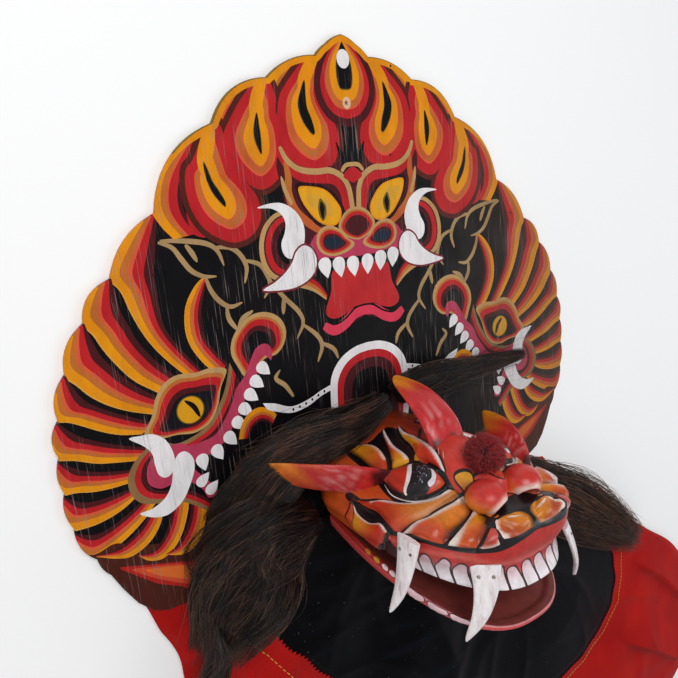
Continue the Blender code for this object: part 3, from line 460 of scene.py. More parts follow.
def scallop(start, end, bulge):
    """Points of one scallop from a notch up to the next."""
    start, end = np.array(start), np.array(end)
    chord = end - start
    outward = np.array((-chord[1], chord[0])) / np.linalg.norm(chord)
    if outward @ (start + end) < 0:
        outward = -outward
    t = np.arange(SCALLOP_STEPS)[:, None] / SCALLOP_STEPS
    return start + chord * t + outward * bulge * 4 * t * (1 - t)


right = [scallop(here[:2], after[:2], here[2]) for here, after in zip(NOTCHES, NOTCHES[1:])]
right += [scallop(NOTCHES[-1][:2], LOWER_CORNER[0], NOTCHES[-1][2]), np.array(LOWER_CORNER)]
right = np.vstack(right)
left = (right[1:] * (-1, 1))[::-1]
board_edge = np.vstack([right, left]) * CREST_RISE
half_width, hole_top, hole_foot = HAND_HOLE
arch_angle = np.linspace(0.0, np.pi, 33)
hand_hole = np.vstack([[(half_width, hole_foot)], np.stack([
    half_width * np.cos(arch_angle), hole_top - half_width + half_width * np.sin(arch_angle)], axis=1),
    [(-half_width, hole_foot)]])
hanging_hole = oval(*HANGING_HOLE, HANGING_HOLE[-1], steps=20)
print("board", np.ptp(board_edge, axis=0).round(4), "m")

# %% Enamels of the crest
BLACK = ink("0C0A0D")
MAROON = ink("4A181C")
RED = ink("BE2328")
CORAL = ink("D85A3A")
BRONZE = ink("BE6B2E")
AMBER = ink("E8940F")
TAN = ink("BE9560")
DULL_TAN = ink("8C6A45")
WHITE = ink("EDE9EA")
GUM = ink("B83A58")
LIP = ink("DA3B55")
OLIVE = ink("6E5A1E")


def veined(colour, other, scale=60.0, depth=0.35):
    """The same paint laid on unevenly: it drifts to another shade along the stroke."""
    colour, other = ink(colour), ink(other)

    def at(corners):
        wave = np.sin(corners[..., 0] * scale + 3.0 * np.sin(corners[..., 1] * scale * 0.7))
        share = depth * (0.5 + 0.5 * wave)[..., None]
        return colour * (1 - share) + other * share

    return at


amber_paint = veined(AMBER, "D87A12")
red_paint = veined(RED, "A81A20")
print("enamels mixed")

# %% [markdown]
# ### Crown of flames
# Each flame is a teardrop of nested bands, from a black slit out to maroon. Nesting two outlines
# gives all bands at once: every ring lies a share of the way from the outer outline to the slit.

# %% Flames
FLAME_SURROUND, RED_SURROUND = 0.0085, 0.0030
FLAME_BANDS = ((0.00, red_paint), (0.30, CORAL), (0.38, veined(BRONZE, RED)),
               (0.56, CORAL), (0.60, amber_paint), (0.955, OLIVE), (0.985, BLACK))
SWIRL_BANDS = ((0.0, 0.34, amber_paint), (0.34, 0.50, BRONZE), (0.50, 0.58, CORAL),
               (0.58, 0.86, red_paint), (0.86, 1.0, MAROON))

SWIRLS = (
    ("36,299 60,294 84,281 90,262 92,242 92,222 90,196", "37,296 50,284 63,271 71,256 75,238 77,220 76,196"),
    ("94,276 122,271 144,255 151,237 152,218 158,200 166,186",
     "96,272 112,261 127,246 136,230 139,214 138,196 132,182"),
    ("154,237 180,229 201,210 215,190 220,168 213,151 203,138",
     "156,231 166,221 177,205 187,187 190,170 187,155 178,141"),
)
flames = []
for outer, inner in SWIRLS:
    flames += ribbon(mm(outer), mm(inner), SWIRL_BANDS)
flames += [
    filled("150,236 160,232 176,208 186,186 188,166 183,140 160,138 168,160 172,182 166,204 156,216", red_paint),
    filled("151,232 162,214 170,196 174,178 172,158 166,142 172,140 179,156 181,176 177,198 166,218", MAROON),
]
LOBE_3 = (mm("150,238 172,205 180,196 182,178 178,159 169,145 155,135 140,131 124,137 116,150 117,166 "
             "126,180 137,192 141,210"),
          mm("165,203 165,195 163,186 159,176 152,166 149,163 149,168 154,177 159,186 162,196"))
LOBE_2 = (mm("94,277 112,262 130,240 140,222 137,203 127,189 110,178 94,184 84,197 81,214 82,232 87,246 "
             "86,262"),
          mm("105,245 109,233 109,222 106,211 104,209 104,217 104,230"))
LOBE_1 = (mm("32,300 44,293 61,277 74,262 79,248 81,232 79,214 69,200 54,190 40,189 25,197 17,212 18,228 "
             "26,241 33,254 35,268 30,284"),
          mm("49,275 55,263 58,252 55,240 49,230 44,225 42,228 45,239 49,250 49,262"))
LOBES = (LOBE_3, LOBE_2, LOBE_1)
flames += [(inset(smooth_curve(outer), -FLAME_SURROUND), "552019") for outer, slit in LOBES]
for outer, slit in LOBES:
    flames.append((inset(smooth_curve(outer), -RED_SURROUND), red_paint))
    flames += nest(outer, slit, FLAME_BANDS)
necks = [(stroke(mm("163,188 164,202 160,216 153,236"), 0.015, 0.2, 0.5), amber_paint),
         (stroke(mm("104,228 106,242 103,258 95,276"), 0.014, 0.2, 0.6), amber_paint),
         (stroke(mm("50,258 50,272 44,284 34,298"), 0.014, 0.2, 0.6), amber_paint)]
slits = [ring for lobe in LOBES for ring in nest(*lobe, FLAME_BANDS[-2:])]
flames = both_sides(flames + necks + slits)
peak_outer = symmetric(mm("0,319 14,307 24,294 31,277 31,262 25,249 15,240 0,236"))
peak_inner = symmetric(mm("0,313 4,305 8,294 9,280 7,270 3,268 0,268"))
PEAK_SURROUND = 0.0060
PEAK_BANDS = ((0.0, MAROON), (0.07, red_paint), (0.34, CORAL), (0.42, BRONZE), (0.56, CORAL),
              (0.60, amber_paint), (0.95, OLIVE), (0.99, BLACK))
peak = [(inset(peak_outer, -PEAK_SURROUND), MAROON)] + rings_between(peak_outer, peak_inner, PEAK_BANDS)
peak += [(oval(0.0, 0.2965, 0.0078, 0.0092), WHITE), (oval(0.0, 0.2540, 0.0050, 0.0060), "E0B99A")]
print("flame strokes:", len(flames) + len(peak))

# %% [markdown]
# ### Guardian face
# The face looks out under the flames: tan outlines, a red and maroon skin, yellow eyes with slit
# pupils, curved tusks and a hanging tongue. It is drawn as one half and mirrored, as a painter
# pricks half a pattern and turns it over.

# %% Guardian face
face = [
    filled("-2,196 24,193 46,190 66,196 84,206 90,196 86,170 84,150 72,118 60,96 -2,90", MAROON),
    filled("-2,200 10,205 18,216 12,190 6,182 -2,182", BLACK),
    (stroke(mm("86,206 76,193 63,184 42,181 24,178 14,166 11,146"), 0.0095, 0.3, 1.0), red_paint),
    (stroke(mm("80,200 78,184 80,170 74,152 60,138 46,129"), 0.0090, 0.3, 1.0), veined(BRONZE, RED)),
    (stroke(mm("86,186 83,172 77,158"), 0.0045, 0.2, 0.8), TAN),
    (stroke(mm("84,214 79,203 71,195 60,190 44,188 28,188 14,181 7,170 5,158 4,146"),
            0.0062, 0.5, 1.0, 0.4), TAN),
    filled("-1,189 6,188 12,181 5,176 -1,175", red_paint),
    (stroke(mm("-1,193 8,192 14,186"), 0.0045, 1.0, 0.6), TAN),
]
face += nest(mm("70,178 52,177 34,172 20,158 14,144 22,130 36,128 52,136 64,152 70,166"),
             mm("60,166 50,166 40,162 32,154 28,146 32,142 40,144 48,150 56,156 60,162"),
             ((0.0, "2A0E12"), (0.30, amber_paint), (0.42, "E7A21C"), (0.98, "D9A030")))
face += [
    filled("44,161 47,152 46,143 42,138 38,144 37,152 40,158", OLIVE),
    filled("43,158 45,151 44,144 42,140 40,146 39,152 41,156", BLACK),
]
face += ribbon(mm("84,154 100,150 113,138 119,121 118,103 110,89 94,82 74,82"),
               mm("84,138 92,134 97,126 99,116 97,107 92,101 84,99 76,100"),
               ((0.0, 0.26, TAN), (0.26, 0.34, MAROON), (0.34, 0.66, red_paint), (0.66, 1.0, MAROON)))
face += ribbon(mm("96,80 78,74 62,67 48,56"), mm("78,92 66,86 54,76 46,62"),
               ((0.0, 0.28, TAN), (0.28, 0.55, BRONZE), (0.55, 0.85, red_paint), (0.85, 1.0, MAROON)))
face += [
    filled("-1,116 16,122 34,128 52,126 62,116 72,122 80,110 72,98 50,94 24,92 -1,92", GUM),
    filled("-1,96 24,97 48,100 62,92 58,84 46,84 -1,84", BLACK),
]
nose_wing = mm("6,112 14,118 22,127 36,133 48,129 53,118 49,107 36,101 20,102 8,107")
face += nest(nose_wing, mm("22,114 25,117 30,119 36,119 40,118 41,115 39,112 34,110 28,111 24,112"),
             ((0.0, TAN), (0.24, BRONZE), (0.36, red_paint), (0.62, MAROON), (0.86, "1C2A3A")))
nose_dome = symmetric(mm("0,149 10,147 19,140 24,130 18,121 8,116 0,114"))
nose_core = symmetric(mm("0,136 5,135 10,132 12,128 9,124 4,121 0,120"))
nose = rings_between(nose_dome, nose_core, ((0.0, TAN), (0.22, BRONZE), (0.36, red_paint), (0.66, MAROON)))
mouth = [filled("0,90 30,88 40,84 43,64 52,46 51,36 40,31 26,34 12,40 0,42", BLACK),
         filled("-1,88 28,86 38,83 41,64 49,47 48,38 38,34 25,37 12,43 -1,45", veined("C22C2E", "A81E24")),
         (stroke(mm("-1,38 14,35 28,26 42,22 54,29"), 0.0125, 1.0, 0.6), LIP),
         (stroke(mm("-1,43 12,41 26,32 40,28 52,34"), 0.0022, 1.0, 0.4), BLACK),
         (stroke(mm("3,30 10,29 15,26"), 0.0020, 0.4, 0.4), MAROON)]
teeth = [drop(x / 1000.0, y / 1000.0, 0.0112, 0.0105, turn)
         for x, y, turn in ((9.5, 86.5, 95), (27.5, 88.0, 97), (45, 89.5, 99))]
teeth = [(outline * (1, -1) + (0, 2 * outline[:, 1].mean()), WHITE) for outline in teeth]
tusks = [filled("116,158 102,161 88,160 75,152 67,139 66,126 70,114 78,106 87,105 93,111 94,121 89,131 "
                "87,141 91,150 101,156",
                WHITE),
         filled("120,78 106,84 93,92 84,101 78,111 69,116 60,112 55,101 58,89 68,80 84,75 102,75", WHITE)]
TUSK_OUTLINE = 0.0020
tusks.insert(1, (inset(tusks[1][0], -TUSK_OUTLINE), "7A2430"))
guardian = both_sides(face) + nose + both_sides(mouth) + both_sides(teeth + tusks)
print("guardian strokes:", len(guardian))

# %% [markdown]
# ### Serpents, feathers and vines
# A serpent's head lies low on each side with its snout curled up towards the middle. Feathers run
# from the scallops in towards its eye, each a ribbon of five bands that turns with the fan. Thin
# tan vines fill the black ground, as fillers do in this kind of painting.

# %% Feathers
FEATHER_BANDS = ((0.0, 0.04, "E0A040"), (0.04, 0.28, amber_paint), (0.28, 0.42, BRONZE),
                 (0.42, 0.50, CORAL), (0.50, 0.70, red_paint), (0.70, 0.88, MAROON))
FEATHERS = (
    ("266,114 258,100 252,79 245,60 236,43 222,24 206,6",
     "212,168 216,138 220,108 222,84 221,62 212,42 192,12"),
    ("294,79 287,66 281,52 272,36 259,18 240,2",
     "262,116 258,92 252,72 246,54 234,34 216,12"),
    ("316,38 308,26 298,13 284,1 267,-9 248,-17",
     "291,80 284,60 275,42 264,26 250,10 232,-5"),
    ("328,-1 319,-5 309,-11 295,-20 279,-28 260,-33",
     "314,40 306,22 295,8 281,-3 264,-13 246,-24"),
    ("334,-34 320,-40 303,-48 284,-53 266,-57",
     "328,0 314,-14 297,-26 280,-35 258,-45"),
    ("334,-67 324,-69 310,-73 293,-75 274,-75",
     "333,-35 318,-45 303,-53 288,-58 268,-63"),
    ("334,-101 318,-104 301,-102 286,-97 274,-90",
     "334,-68 320,-76 306,-79 290,-79 272,-79"),
    ("320,-137 306,-134 288,-126 270,-114 258,-102",
     "333,-102 318,-109 302,-108 284,-101 266,-92"),
)
LOW_FEATHERS = (
    ("318,-134 301,-143 287,-146 270,-139 258,-126 251,-110",
     "318,-133 303,-133 290,-128 275,-118 260,-103"),
    ("282,-148 273,-157 260,-160 247,-153 237,-140 229,-121 226,-106",
     "283,-147 270,-147 260,-140 252,-128 246,-112"),
    ("256,-158 244,-163 233,-163 223,-156 214,-140 208,-118",
     "257,-157 246,-151 238,-141 231,-128 226,-110"),
)
BOTTOM_FLAME = (("B0241E",
                 "300,-153 283,-158 264,-164 245,-170 228,-175 190,-182 150,-186 150,-220 190,-217 "
                 "233,-206 249,-195 268,-184 279,-174 290,-164"),
                ("CC4A30",
                 "290,-159 271,-164 249,-171 228,-178 190,-186 150,-190 150,-214 190,-211 232,-200 "
                 "251,-190 270,-177 281,-168"),
                ("DC6A2C",
                 "278,-165 265,-168 246,-174 229,-181 190,-189 150,-193 150,-208 190,-206 231,-195 "
                 "251,-185 266,-176"))
feathers = [filled("216,165 262,134 300,76 333,10 340,-60 338,-120 318,-172 262,-200 196,-205 190,-140 "
                   "250,-100 262,-60 250,-30 214,0 184,12 190,70 205,130",
                   BLACK)]
for yellow_edge, dark_edge in FEATHERS:
    yellow_edge, dark_edge = points_of(yellow_edge), points_of(dark_edge)
    notch_below, notch_above = np.array(yellow_edge[0]), np.array(dark_edge[0])
    chord = notch_below - notch_above
    out = np.array((-chord[1], chord[0])) / np.linalg.norm(chord)
    out = out if out @ notch_above > 0 else -out
    sweep = [notch_above + out * 3, notch_above * 0.72 + notch_below * 0.28 + out * 7.5,
             notch_above * 0.35 + notch_below * 0.65 + out * 9, notch_below + out * 5]
    feathers += ribbon(mm([*sweep, *yellow_edge[1:]]), mm([notch_above + out * 1.5, *dark_edge[1:]]),
                       FEATHER_BANDS)
feathers += ribbon(mm("178,102 190,93 201,77 205,58 203,40 194,22 180,4"),
                   mm("177,98 180,86 184,72 186,56 184,42 176,28 166,14"), FEATHER_BANDS)
feathers.append(filled("346,-122 320,-131 300,-128 280,-138 250,-146 225,-146 190,-150 130,-170 130,-250 "
                       "260,-250 346,-190",
                       "4C2119"))
for yellow_edge, dark_edge in LOW_FEATHERS:
    feathers += ribbon(mm(yellow_edge), mm(dark_edge), FEATHER_BANDS)
feathers += [filled(edge, colour) for colour, edge in BOTTOM_FLAME]
print("feather strokes:", len(feathers))

# %% Serpent
serpent = ribbon(mm("166,14 173,-8 183,-26 196,-41 213,-49 232,-51 248,-40 256,-44 262,-58"),
                 mm("158,-8 164,-24 174,-40 188,-54 206,-61 226,-65 240,-58 246,-62 248,-74"),
                 ((0.0, 0.30, DULL_TAN), (0.30, 0.62, red_paint), (0.62, 1.0, MAROON)))
serpent += nest(mm("170,8 186,13 202,12 220,14 234,8 243,-4 249,-20 258,-34 246,-42 228,-43 210,-46 "
                   "194,-40 184,-26 178,-8"),
                mm("190,-12 197,-10 205,-9 213,-8 221,-11 227,-17 231,-24 236,-34 228,-36 218,-37 "
                   "208,-36 198,-32 192,-26 189,-18"),
                ((0.0, TAN), (0.20, BRONZE), (0.36, red_paint), (0.66, MAROON), (0.90, "16131A")))
serpent += [(oval(0.2115, -0.0225, 0.0140, 0.0140), OLIVE),
            (oval(0.2115, -0.0225, 0.0129, 0.0129), "D99A1A"),
            (stroke(mm("216,-12 208,-20 203,-32"), 0.0050, 0.1, 0.1), BLACK)]
serpent += nest(mm("150,-6 158,8 163,22 160,36 150,48 136,56 120,56 106,48 100,34 104,20 114,11 126,10 "
                   "138,2"),
                mm("142,12 146,20 145,28 141,34 134,38 127,36 121,31 119,25 119,21 122,18 127,19 132,18 "
                   "137,14"),
                ((0.0, TAN), (0.22, BRONZE), (0.34, red_paint), (0.66, MAROON), (0.93, BLACK)))
GUM_UPPER = mm("119,10 120,21 127,25 136,22 143,12 152,-3 163,-14 169,-27 178,-40 191,-54 213,-57 236,-55")
GUM_LOWER = mm("121,6 127,13 132,12 135,4 139,-6 146,-17 155,-27 163,-40 172,-52 184,-65 200,-72 222,-76")
serpent += ribbon(GUM_UPPER, GUM_LOWER, ((0.0, 1.0, GUM),))
serpent.append(filled("222,-54 240,-52 258,-62 262,-80 252,-90 238,-90 222,-94 212,-104 206,-116 "
                      "196,-112 206,-96 216,-82 220,-68",
                      GUM))
UPPER_TEETH = ((130, -1, 228), (139, -13, 224), (147, -25, 224), (155, -38, 226), (164, -50, 228),
               (175, -63, 234), (190, -73, 246), (207, -78, 262))
LOWER_TEETH = ((209, -95, 140), (201, -106, 140))
for row, long, wide in ((UPPER_TEETH, 0.0092, 0.0086), (LOWER_TEETH, 0.0085, 0.0076)):
    serpent += [(drop(x / 1000.0, y / 1000.0, long, wide, turn), WHITE) for x, y, turn in row]
serpent += ribbon(mm("256,-46 270,-56 279,-70 279,-86 271,-98 256,-104 238,-108 222,-118 206,-132"),
                  mm("254,-58 260,-64 263,-73 262,-82 256,-90 244,-94 230,-98 216,-108 202,-122"),
                  ((0.0, 0.35, DULL_TAN), (0.35, 0.70, red_paint), (0.70, 1.0, MAROON)))
serpent += [filled("272,-34 262,-34 250,-36 240,-44 235,-56 234,-68 238,-78 245,-81 251,-76 253,-66 "
                   "254,-54 261,-44",
                   WHITE),
            filled("274,-108 262,-116 248,-118 233,-110 223,-96 216,-80 217,-68 224,-61 232,-64 237,-76 "
                   "241,-90 249,-101 262,-107",
                   WHITE)]
serpent += ribbon(mm("167,-66 163,-54 154,-43 141,-39 129,-44 122,-52"),
                  mm("156,-68 152,-60 146,-55 139,-54 133,-57 129,-62"),
                  ((0.0, 0.35, amber_paint), (0.35, 0.55, BRONZE), (0.55, 0.8, red_paint),
                   (0.8, 1.0, MAROON)))
print("serpent strokes:", len(serpent))

# %% Vines, arch and rim
VINES = (
    "218,137 206,131 199,120 191,108 180,101 167,99",
    "178,100 175,88 168,76 157,68 144,70",
    "161,68 160,56 152,43", "193,132 188,124 184,115",
    "216,138 197,136 174,131 163,123 158,108",
    "166,126 150,124 140,116 135,103 139,88",
    "136,110 121,104 114,93 112,82 120,70",
    "113,90 106,78 95,64 83,50 79,37 88,22",
    "98,68 101,50", "80,36 64,21 59,8 66,-8", "60,12 45,2 40,-10",
    "152,44 146,54 134,60", "100,-38 108,-24 118,-14 112,-6",
)
VINE_WIDTH = 0.0050
vine_paint = veined("B09064", "8E7048", 90.0)
vines = [(stroke(mm(points), VINE_WIDTH, 0.45, 0.20, 0.6), vine_paint) for points in VINES]
shoulder = ribbon(mm("50,-36 66,-40 84,-46 104,-48 122,-40 136,-36"),
                  mm("50,-42 66,-46 84,-53 104,-55 124,-48 132,-44"), ((0.0, 1.0, WHITE),))
shoulder += [(oval(x, y, 0.0012, 0.0016), BLACK)
             for x, y in mm("62,-42 70,-44.5 78,-47 86,-49.5 94,-51 102,-52")]
arch_outer = symmetric(mm("0,0 18,-2 36,-10 49,-24 54,-42 54,-80 40,-120 0,-125"))
arch_inner = symmetric(mm("0,-34 8,-35 15,-38 20,-44 22,-54 22,-84 16,-110 0,-112"))
arch = rings_between(arch_outer, arch_inner,
                     ((0.0, WHITE), (0.27, red_paint), (0.52, MAROON), (0.86, BLACK)), 90)
arch.append((np.array(mm("-115,-150 115,-150 115,-250 -115,-250")), BLACK))
CROWN_SCALLOPS = 5
crown_edge = right[:SCALLOP_STEPS * CROWN_SCALLOPS + 1] * CREST_RISE
inwards = normals_of(crown_edge)
if inwards[20] @ crown_edge[20] > 0:
    inwards = -inwards
fade = np.clip(np.linspace(6.0, 0.0, len(crown_edge)), 0.0, 1.0)[:, None]
rim = [(np.vstack([crown_edge + inwards * start, (crown_edge + inwards * stop * fade)[::-1]]), colour)
       for start, stop, colour in ((-0.0080, 0.0014, "8C6A20"), (0.0012, 0.0066, amber_paint))]
nail_holes = [(oval(x, y, 0.0011, 0.0014), "0A0806") for x, y in mm("61,291 85,274 239,120 52,200")]
crest_strokes = (both_sides(feathers) + both_sides(serpent) + both_sides(vines) + both_sides(shoulder)
                 + arch + flames + peak + both_sides(rim) + guardian + nail_holes)
print("crest strokes:", len(crest_strokes))

# %% [markdown]
# ### The painted board
# The front is the triangulated painting. Its open edges are then carried round the rim in a few
# rings, so the sawn edge is slightly rounded, and the back is filled between the same edges.

# %% Board mesh
def edge_loops(triangles):
    """Closed loops of the edges that only one triangle has."""
    edges = np.vstack([triangles[:, [0, 1]], triangles[:, [1, 2]], triangles[:, [2, 0]]])
    low = np.sort(edges, axis=1)
    _, index, counts = np.unique(low, axis=0, return_index=True, return_counts=True)
    after = {int(a): int(b) for a, b in edges[index[counts == 1]]}
    loops = []
    while after:
        start, here = next(iter(after.items()))
        del after[start]
        loop = [start]
        while here != start:
            loop.append(here)
            here = after.pop(here)
        loops.append(np.array(loop))
    return loops


borders = [inset(board_edge, EDGE_ROUNDING), inset(hand_hole, -EDGE_ROUNDING),
           inset(hanging_hole, -EDGE_ROUNDING * 0.4)]
places, triangles = triangulate(borders, crest_strokes, 0.0055)
middles = places[triangles].mean(axis=1)
keep = inside(middles, borders[0]) & ~inside(middles, borders[1]) & ~inside(middles, borders[2])
triangles = triangles[keep]
paint = colours_of(places, triangles, crest_strokes, BLACK)
vertices = [np.column_stack([places, np.full(len(places), BOARD_THICKNESS)])]
faces = [triangles]
wall_paint = []
beside = {}
for number, (a, b, c) in enumerate(triangles):
    beside[(a, b)] = beside[(b, c)] = beside[(c, a)] = number
count = len(places)
back_loops = []
for loop in edge_loops(triangles):
    flat = places[loop]
    along = np.roll(flat, -1, axis=0) - np.roll(flat, 1, axis=0)
    outward = np.stack([along[:, 1], -along[:, 0]], axis=1) / np.maximum(np.linalg.norm(along, axis=1),
                                                                         1e-9)[:, None]
    numbers = [loop]
    for out, height in ((EDGE_ROUNDING, BOARD_THICKNESS - EDGE_ROUNDING), (EDGE_ROUNDING, EDGE_ROUNDING),
                        (0.0, 0.0)):
        vertices.append(np.column_stack([flat + outward * out, np.full(len(flat), height)]))
        numbers.append(np.arange(len(flat)) + count)
        count += len(flat)
    rim_paint = np.array([paint[beside[(a, b)]].mean(axis=0) for a, b in zip(loop, np.roll(loop, -1))])
    # The paint on the sawn edge gets darker ring by ring towards the board's back.
    for (upper, lower), darker_towards_back in zip(zip(numbers, numbers[1:]), (1.0, 0.85, 0.60)):
        a, b, c, d = upper, lower, np.roll(lower, -1), np.roll(upper, -1)
        faces += [np.stack([a, b, c], axis=1), np.stack([a, c, d], axis=1)]
        wall_paint.append(np.repeat(rim_paint[:, None] * darker_towards_back, 3, axis=1))
        wall_paint.append(wall_paint[-1])
    back_loops.append(numbers[-1])
vertices = np.vstack(vertices)
back_points = [Vector(vertices[n][:2]) for loop in back_loops for n in loop]
back_numbers = np.concatenate(back_loops)
back_edges, first = [], 0
for loop in back_loops:
    back_edges += [(first + k, first + (k + 1) % len(loop)) for k in range(len(loop))]
    first += len(loop)
found = delaunay_2d_cdt(back_points, back_edges, [], 0, 1e-9, True)
back_places = np.array([tuple(point) for point in found[0]])
back = np.array(found[2])
middles = back_places[back].mean(axis=1)
back = back[inside(middles, borders[0]) & ~inside(middles, borders[1]) & ~inside(middles, borders[2])]
origin = np.array([group[0] for group in found[3]])
faces.append(back_numbers[origin[back]][:, ::-1])
faces = np.vstack(faces)
everywhere = np.tile(ink("1A1511"), (len(faces), 3, 1))
everywhere[:len(triangles)] = paint
walls = np.concatenate(wall_paint)
everywhere[len(triangles):len(triangles) + len(walls)] = walls
used = np.unique(faces)
renumber = np.zeros(len(vertices), int)
renumber[used] = np.arange(len(used))
board = mesh_object("crest_painting", vertices[used], renumber[faces])
colour_layer(board.data, "paint", "CORNER", everywhere.reshape(-1, 3))
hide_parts("crest_board")
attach(board, "mask")
print("crest board:", len(faces), "triangles")

# %% [markdown]
# ### Enamel on old plywood
# Brush enamel on plywood isn't even: it has fine streaks, the veneer's cracks show as pale hairs
# that run up the board, and the gloss is broken where the paint sank in.

# %% Crest enamel
def enamel(name, roughness, streak, crack_strength):
    """Painted colours with streaks, pale cracks up the veneer, specks of grime and painted shade that darkens
    the board's right side (positive x).
    """
    made, tree, shader = finish_of(name, roughness, 0.10)
    colour = add_node(tree, "ShaderNodeAttribute", attribute_name="paint").outputs["Color"]
    blotch = noise(tree, streak, 6.0, 0.65)
    shade = ramp(tree, blotch, (0.30, 0.84), (0.52, 1.0), (0.72, 1.08))
    colour = mix_colour(tree, 1.0, colour, shade, "MULTIPLY")
    grain = noise(tree, (900.0, 16.0, 300.0), 3.0, 0.55)
    patch = noise(tree, (14.0, 7.0, 14.0), 3.0)
    hairs = ramp(tree, grain, (0.60, 0.0), (0.68, 1.0))
    where = ramp(tree, patch, (0.42, 0.0), (0.56, crack_strength))
    wear = mix_colour(tree, 1.0, hairs, where, "MULTIPLY")
    colour = mix_colour(tree, wear, colour, (0.26, 0.21, 0.20))
    grime = ramp(tree, noise(tree, 650.0, 4.0, 0.7), (0.56, 0.0), (0.66, 1.0))
    dusty = ramp(tree, noise(tree, 9.0), (0.52, 0.0), (0.66, 0.45))
    speckle = mix_colour(tree, 1.0, grime, dusty, "MULTIPLY")
    colour = mix_colour(tree, speckle, colour, (0.05, 0.03, 0.03))
    # Painted shade: right of the middle, the colour is mixed more and more towards a dull brown.
    place = add_node(tree, "ShaderNodeTexCoord").outputs["Object"]
    across = add_node(tree, "ShaderNodeSeparateXYZ", {0: place}).outputs["X"]
    uneven_dye_and_painted_shade = add_node(tree, "ShaderNodeMapRange", {0: across, 1: 0.10, 2: 0.34, 3: 0.0, 4: 0.40}).outputs[0]
    colour = mix_colour(tree, uneven_dye_and_painted_shade, colour, (0.11, 0.075, 0.055))
    tree.links.new(colour, shader.inputs["Base Color"])
    gloss = noise(tree, (30.0, 20.0, 30.0), 5.0)
    gloss = ramp(tree, gloss, (0.3, roughness - 0.10), (0.7, roughness + 0.14))
    tree.links.new(gloss, shader.inputs["Roughness"])
    fine = bump(tree, blotch, 0.25, 0.0006, shader)
    bump(tree, grain, 0.10, 0.0004, shader, fine)
    return made


crest_enamel = enamel("crest_enamel", 0.46, (95.0, 30.0, 60.0), 0.65)
board.data.materials.append(crest_enamel)
print("crest enamel ready")

# %% [markdown]
# ## Carved head
# The head is carved from one block of light wood: brows like flames, bulging eyes, a broad snout
# and a row of teeth. It could be sculpted from a ball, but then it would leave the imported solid. So
# its skin repeats the solid's: U-shaped rows from the teeth up to the crown, with the carved forms
# raised on it. Places on it are shares: up from the teeth, and round from the snout to the board.

# %% The head's own skin
HEAD_BACK, HEAD_MIDDLE, HEAD_FRONT = 0.040, 0.140, 0.225
CROWN_HEIGHT, CROWN_FALL = -0.080, 0.021
BROW_RISE, BROW_DEPTH, BROW_REACH = 0.005, 0.135, 0.025
BRIDGE_START, BRIDGE_END = 0.140, 0.195
NECK_TAPER = 0.16
GAP = 0.0003
LINING_DEPTH = 0.011
SKIN_RISE, SKIN_ROUND = 0.165, 0.290
HEAD_ROWS = (
    (0.00, 0.0940, 0.2325, 2.5, 0.0790, 0.0920, 0.1020),
    (0.12, 0.0965, 0.2245, 2.9, 0.0710, 0.0780, 0.0850),
    (0.20, 0.0985, 0.2305, 3.3, 0.0640, 0.0700, 0.0680),
    (0.27, 0.0965, 0.2305, 3.5, 0.0560, 0.0605, 0.0495),
    (0.36, 0.0950, 0.2200, 3.2, 0.0450, 0.0510, 0.0355),
    (0.48, 0.0870, 0.2100, 2.9, 0.0340, 0.0435, 0.0230),
    (0.62, 0.0680, 0.2010, 2.6, 0.0220, 0.0320, 0.0095),
    (0.78, 0.0430, 0.1950, 2.3, 0.0110, 0.0180, 0.0020),
    (0.90, 0.0200, 0.1920, 2.1, 0.0030, 0.0055, 0.0005),
    (1.00, 0.0000, 0.1900, 2.0, 0.0000, 0.0000, 0.0000),
)
HEAD_SWELLS = (
    ((0.000, -0.100, 0.184), (0.0130, 0.0200, 0.0280), 0.0060),
    ((0.096, -0.134, 0.096), (0.0160, 0.0100, 0.0300), -0.0070),
    ((0.084, -0.122, 0.165), (0.0180, 0.0120, 0.0300), 0.0035),
)


def smoothstep(low, high, value):
    """A share that rises softly from 0 at low to 1 at high."""
    share = np.clip((value - low) / (high - low), 0.0, 1.0)
    return share * share * (3.0 - 2.0 * share)


def through_keys(keys, values, where):
    """Smooth curve through a few keyed values."""
    keys, values, where = (np.asarray(item, float) for item in (keys, values, where))
    slopes = np.gradient(values, keys)
    index = np.clip(np.searchsorted(keys, where, side="right") - 1, 0, len(keys) - 2)
    step = keys[index + 1] - keys[index]
    s = (where - keys[index]) / step
    start, end = values[index], values[index + 1]
    rise_in, rise_out = slopes[index] * step, slopes[index + 1] * step
    return (start * (1 + 2 * s) * (1 - s) ** 2 + rise_in * s * (1 - s) ** 2
            + end * s * s * (3 - 2 * s) + rise_out * s * s * (s - 1))


def brow_line(depth):
    """Height of the crown's line: a low swell at the brow, then a fall down the bridge."""
    brow = BROW_RISE * np.exp(-((depth - BROW_DEPTH) / BROW_REACH) ** 2)
    return brow - CROWN_FALL * smoothstep(BRIDGE_START, BRIDGE_END, depth)


def through_stations(depth, back, middle, front):
    """Parabola through three values at the head's back, middle and front."""
    a, b, c = HEAD_BACK, HEAD_MIDDLE, HEAD_FRONT
    return (back * (depth - b) * (depth - c) / ((a - b) * (a - c))
            + middle * (depth - a) * (depth - c) / ((b - a) * (b - c))
            + front * (depth - a) * (depth - b) / ((c - a) * (c - b)))


def u_curve(half_width, front, squareness, start, count):
    """Half of a U from its middle round to its open end, with points at even distances."""
    angle = np.linspace(0.0, math.pi / 2, 400)
    x = half_width * np.sin(angle) ** (2.0 / squareness)
    z = start + (front - start) * np.cos(angle) ** (2.0 / squareness)
    run = np.concatenate([[0.0], np.cumsum(np.hypot(np.diff(x), np.diff(z)))])
    wanted = np.linspace(0.0, run[-1], count)
    return np.interp(wanted, run, x), np.interp(wanted, run, z)


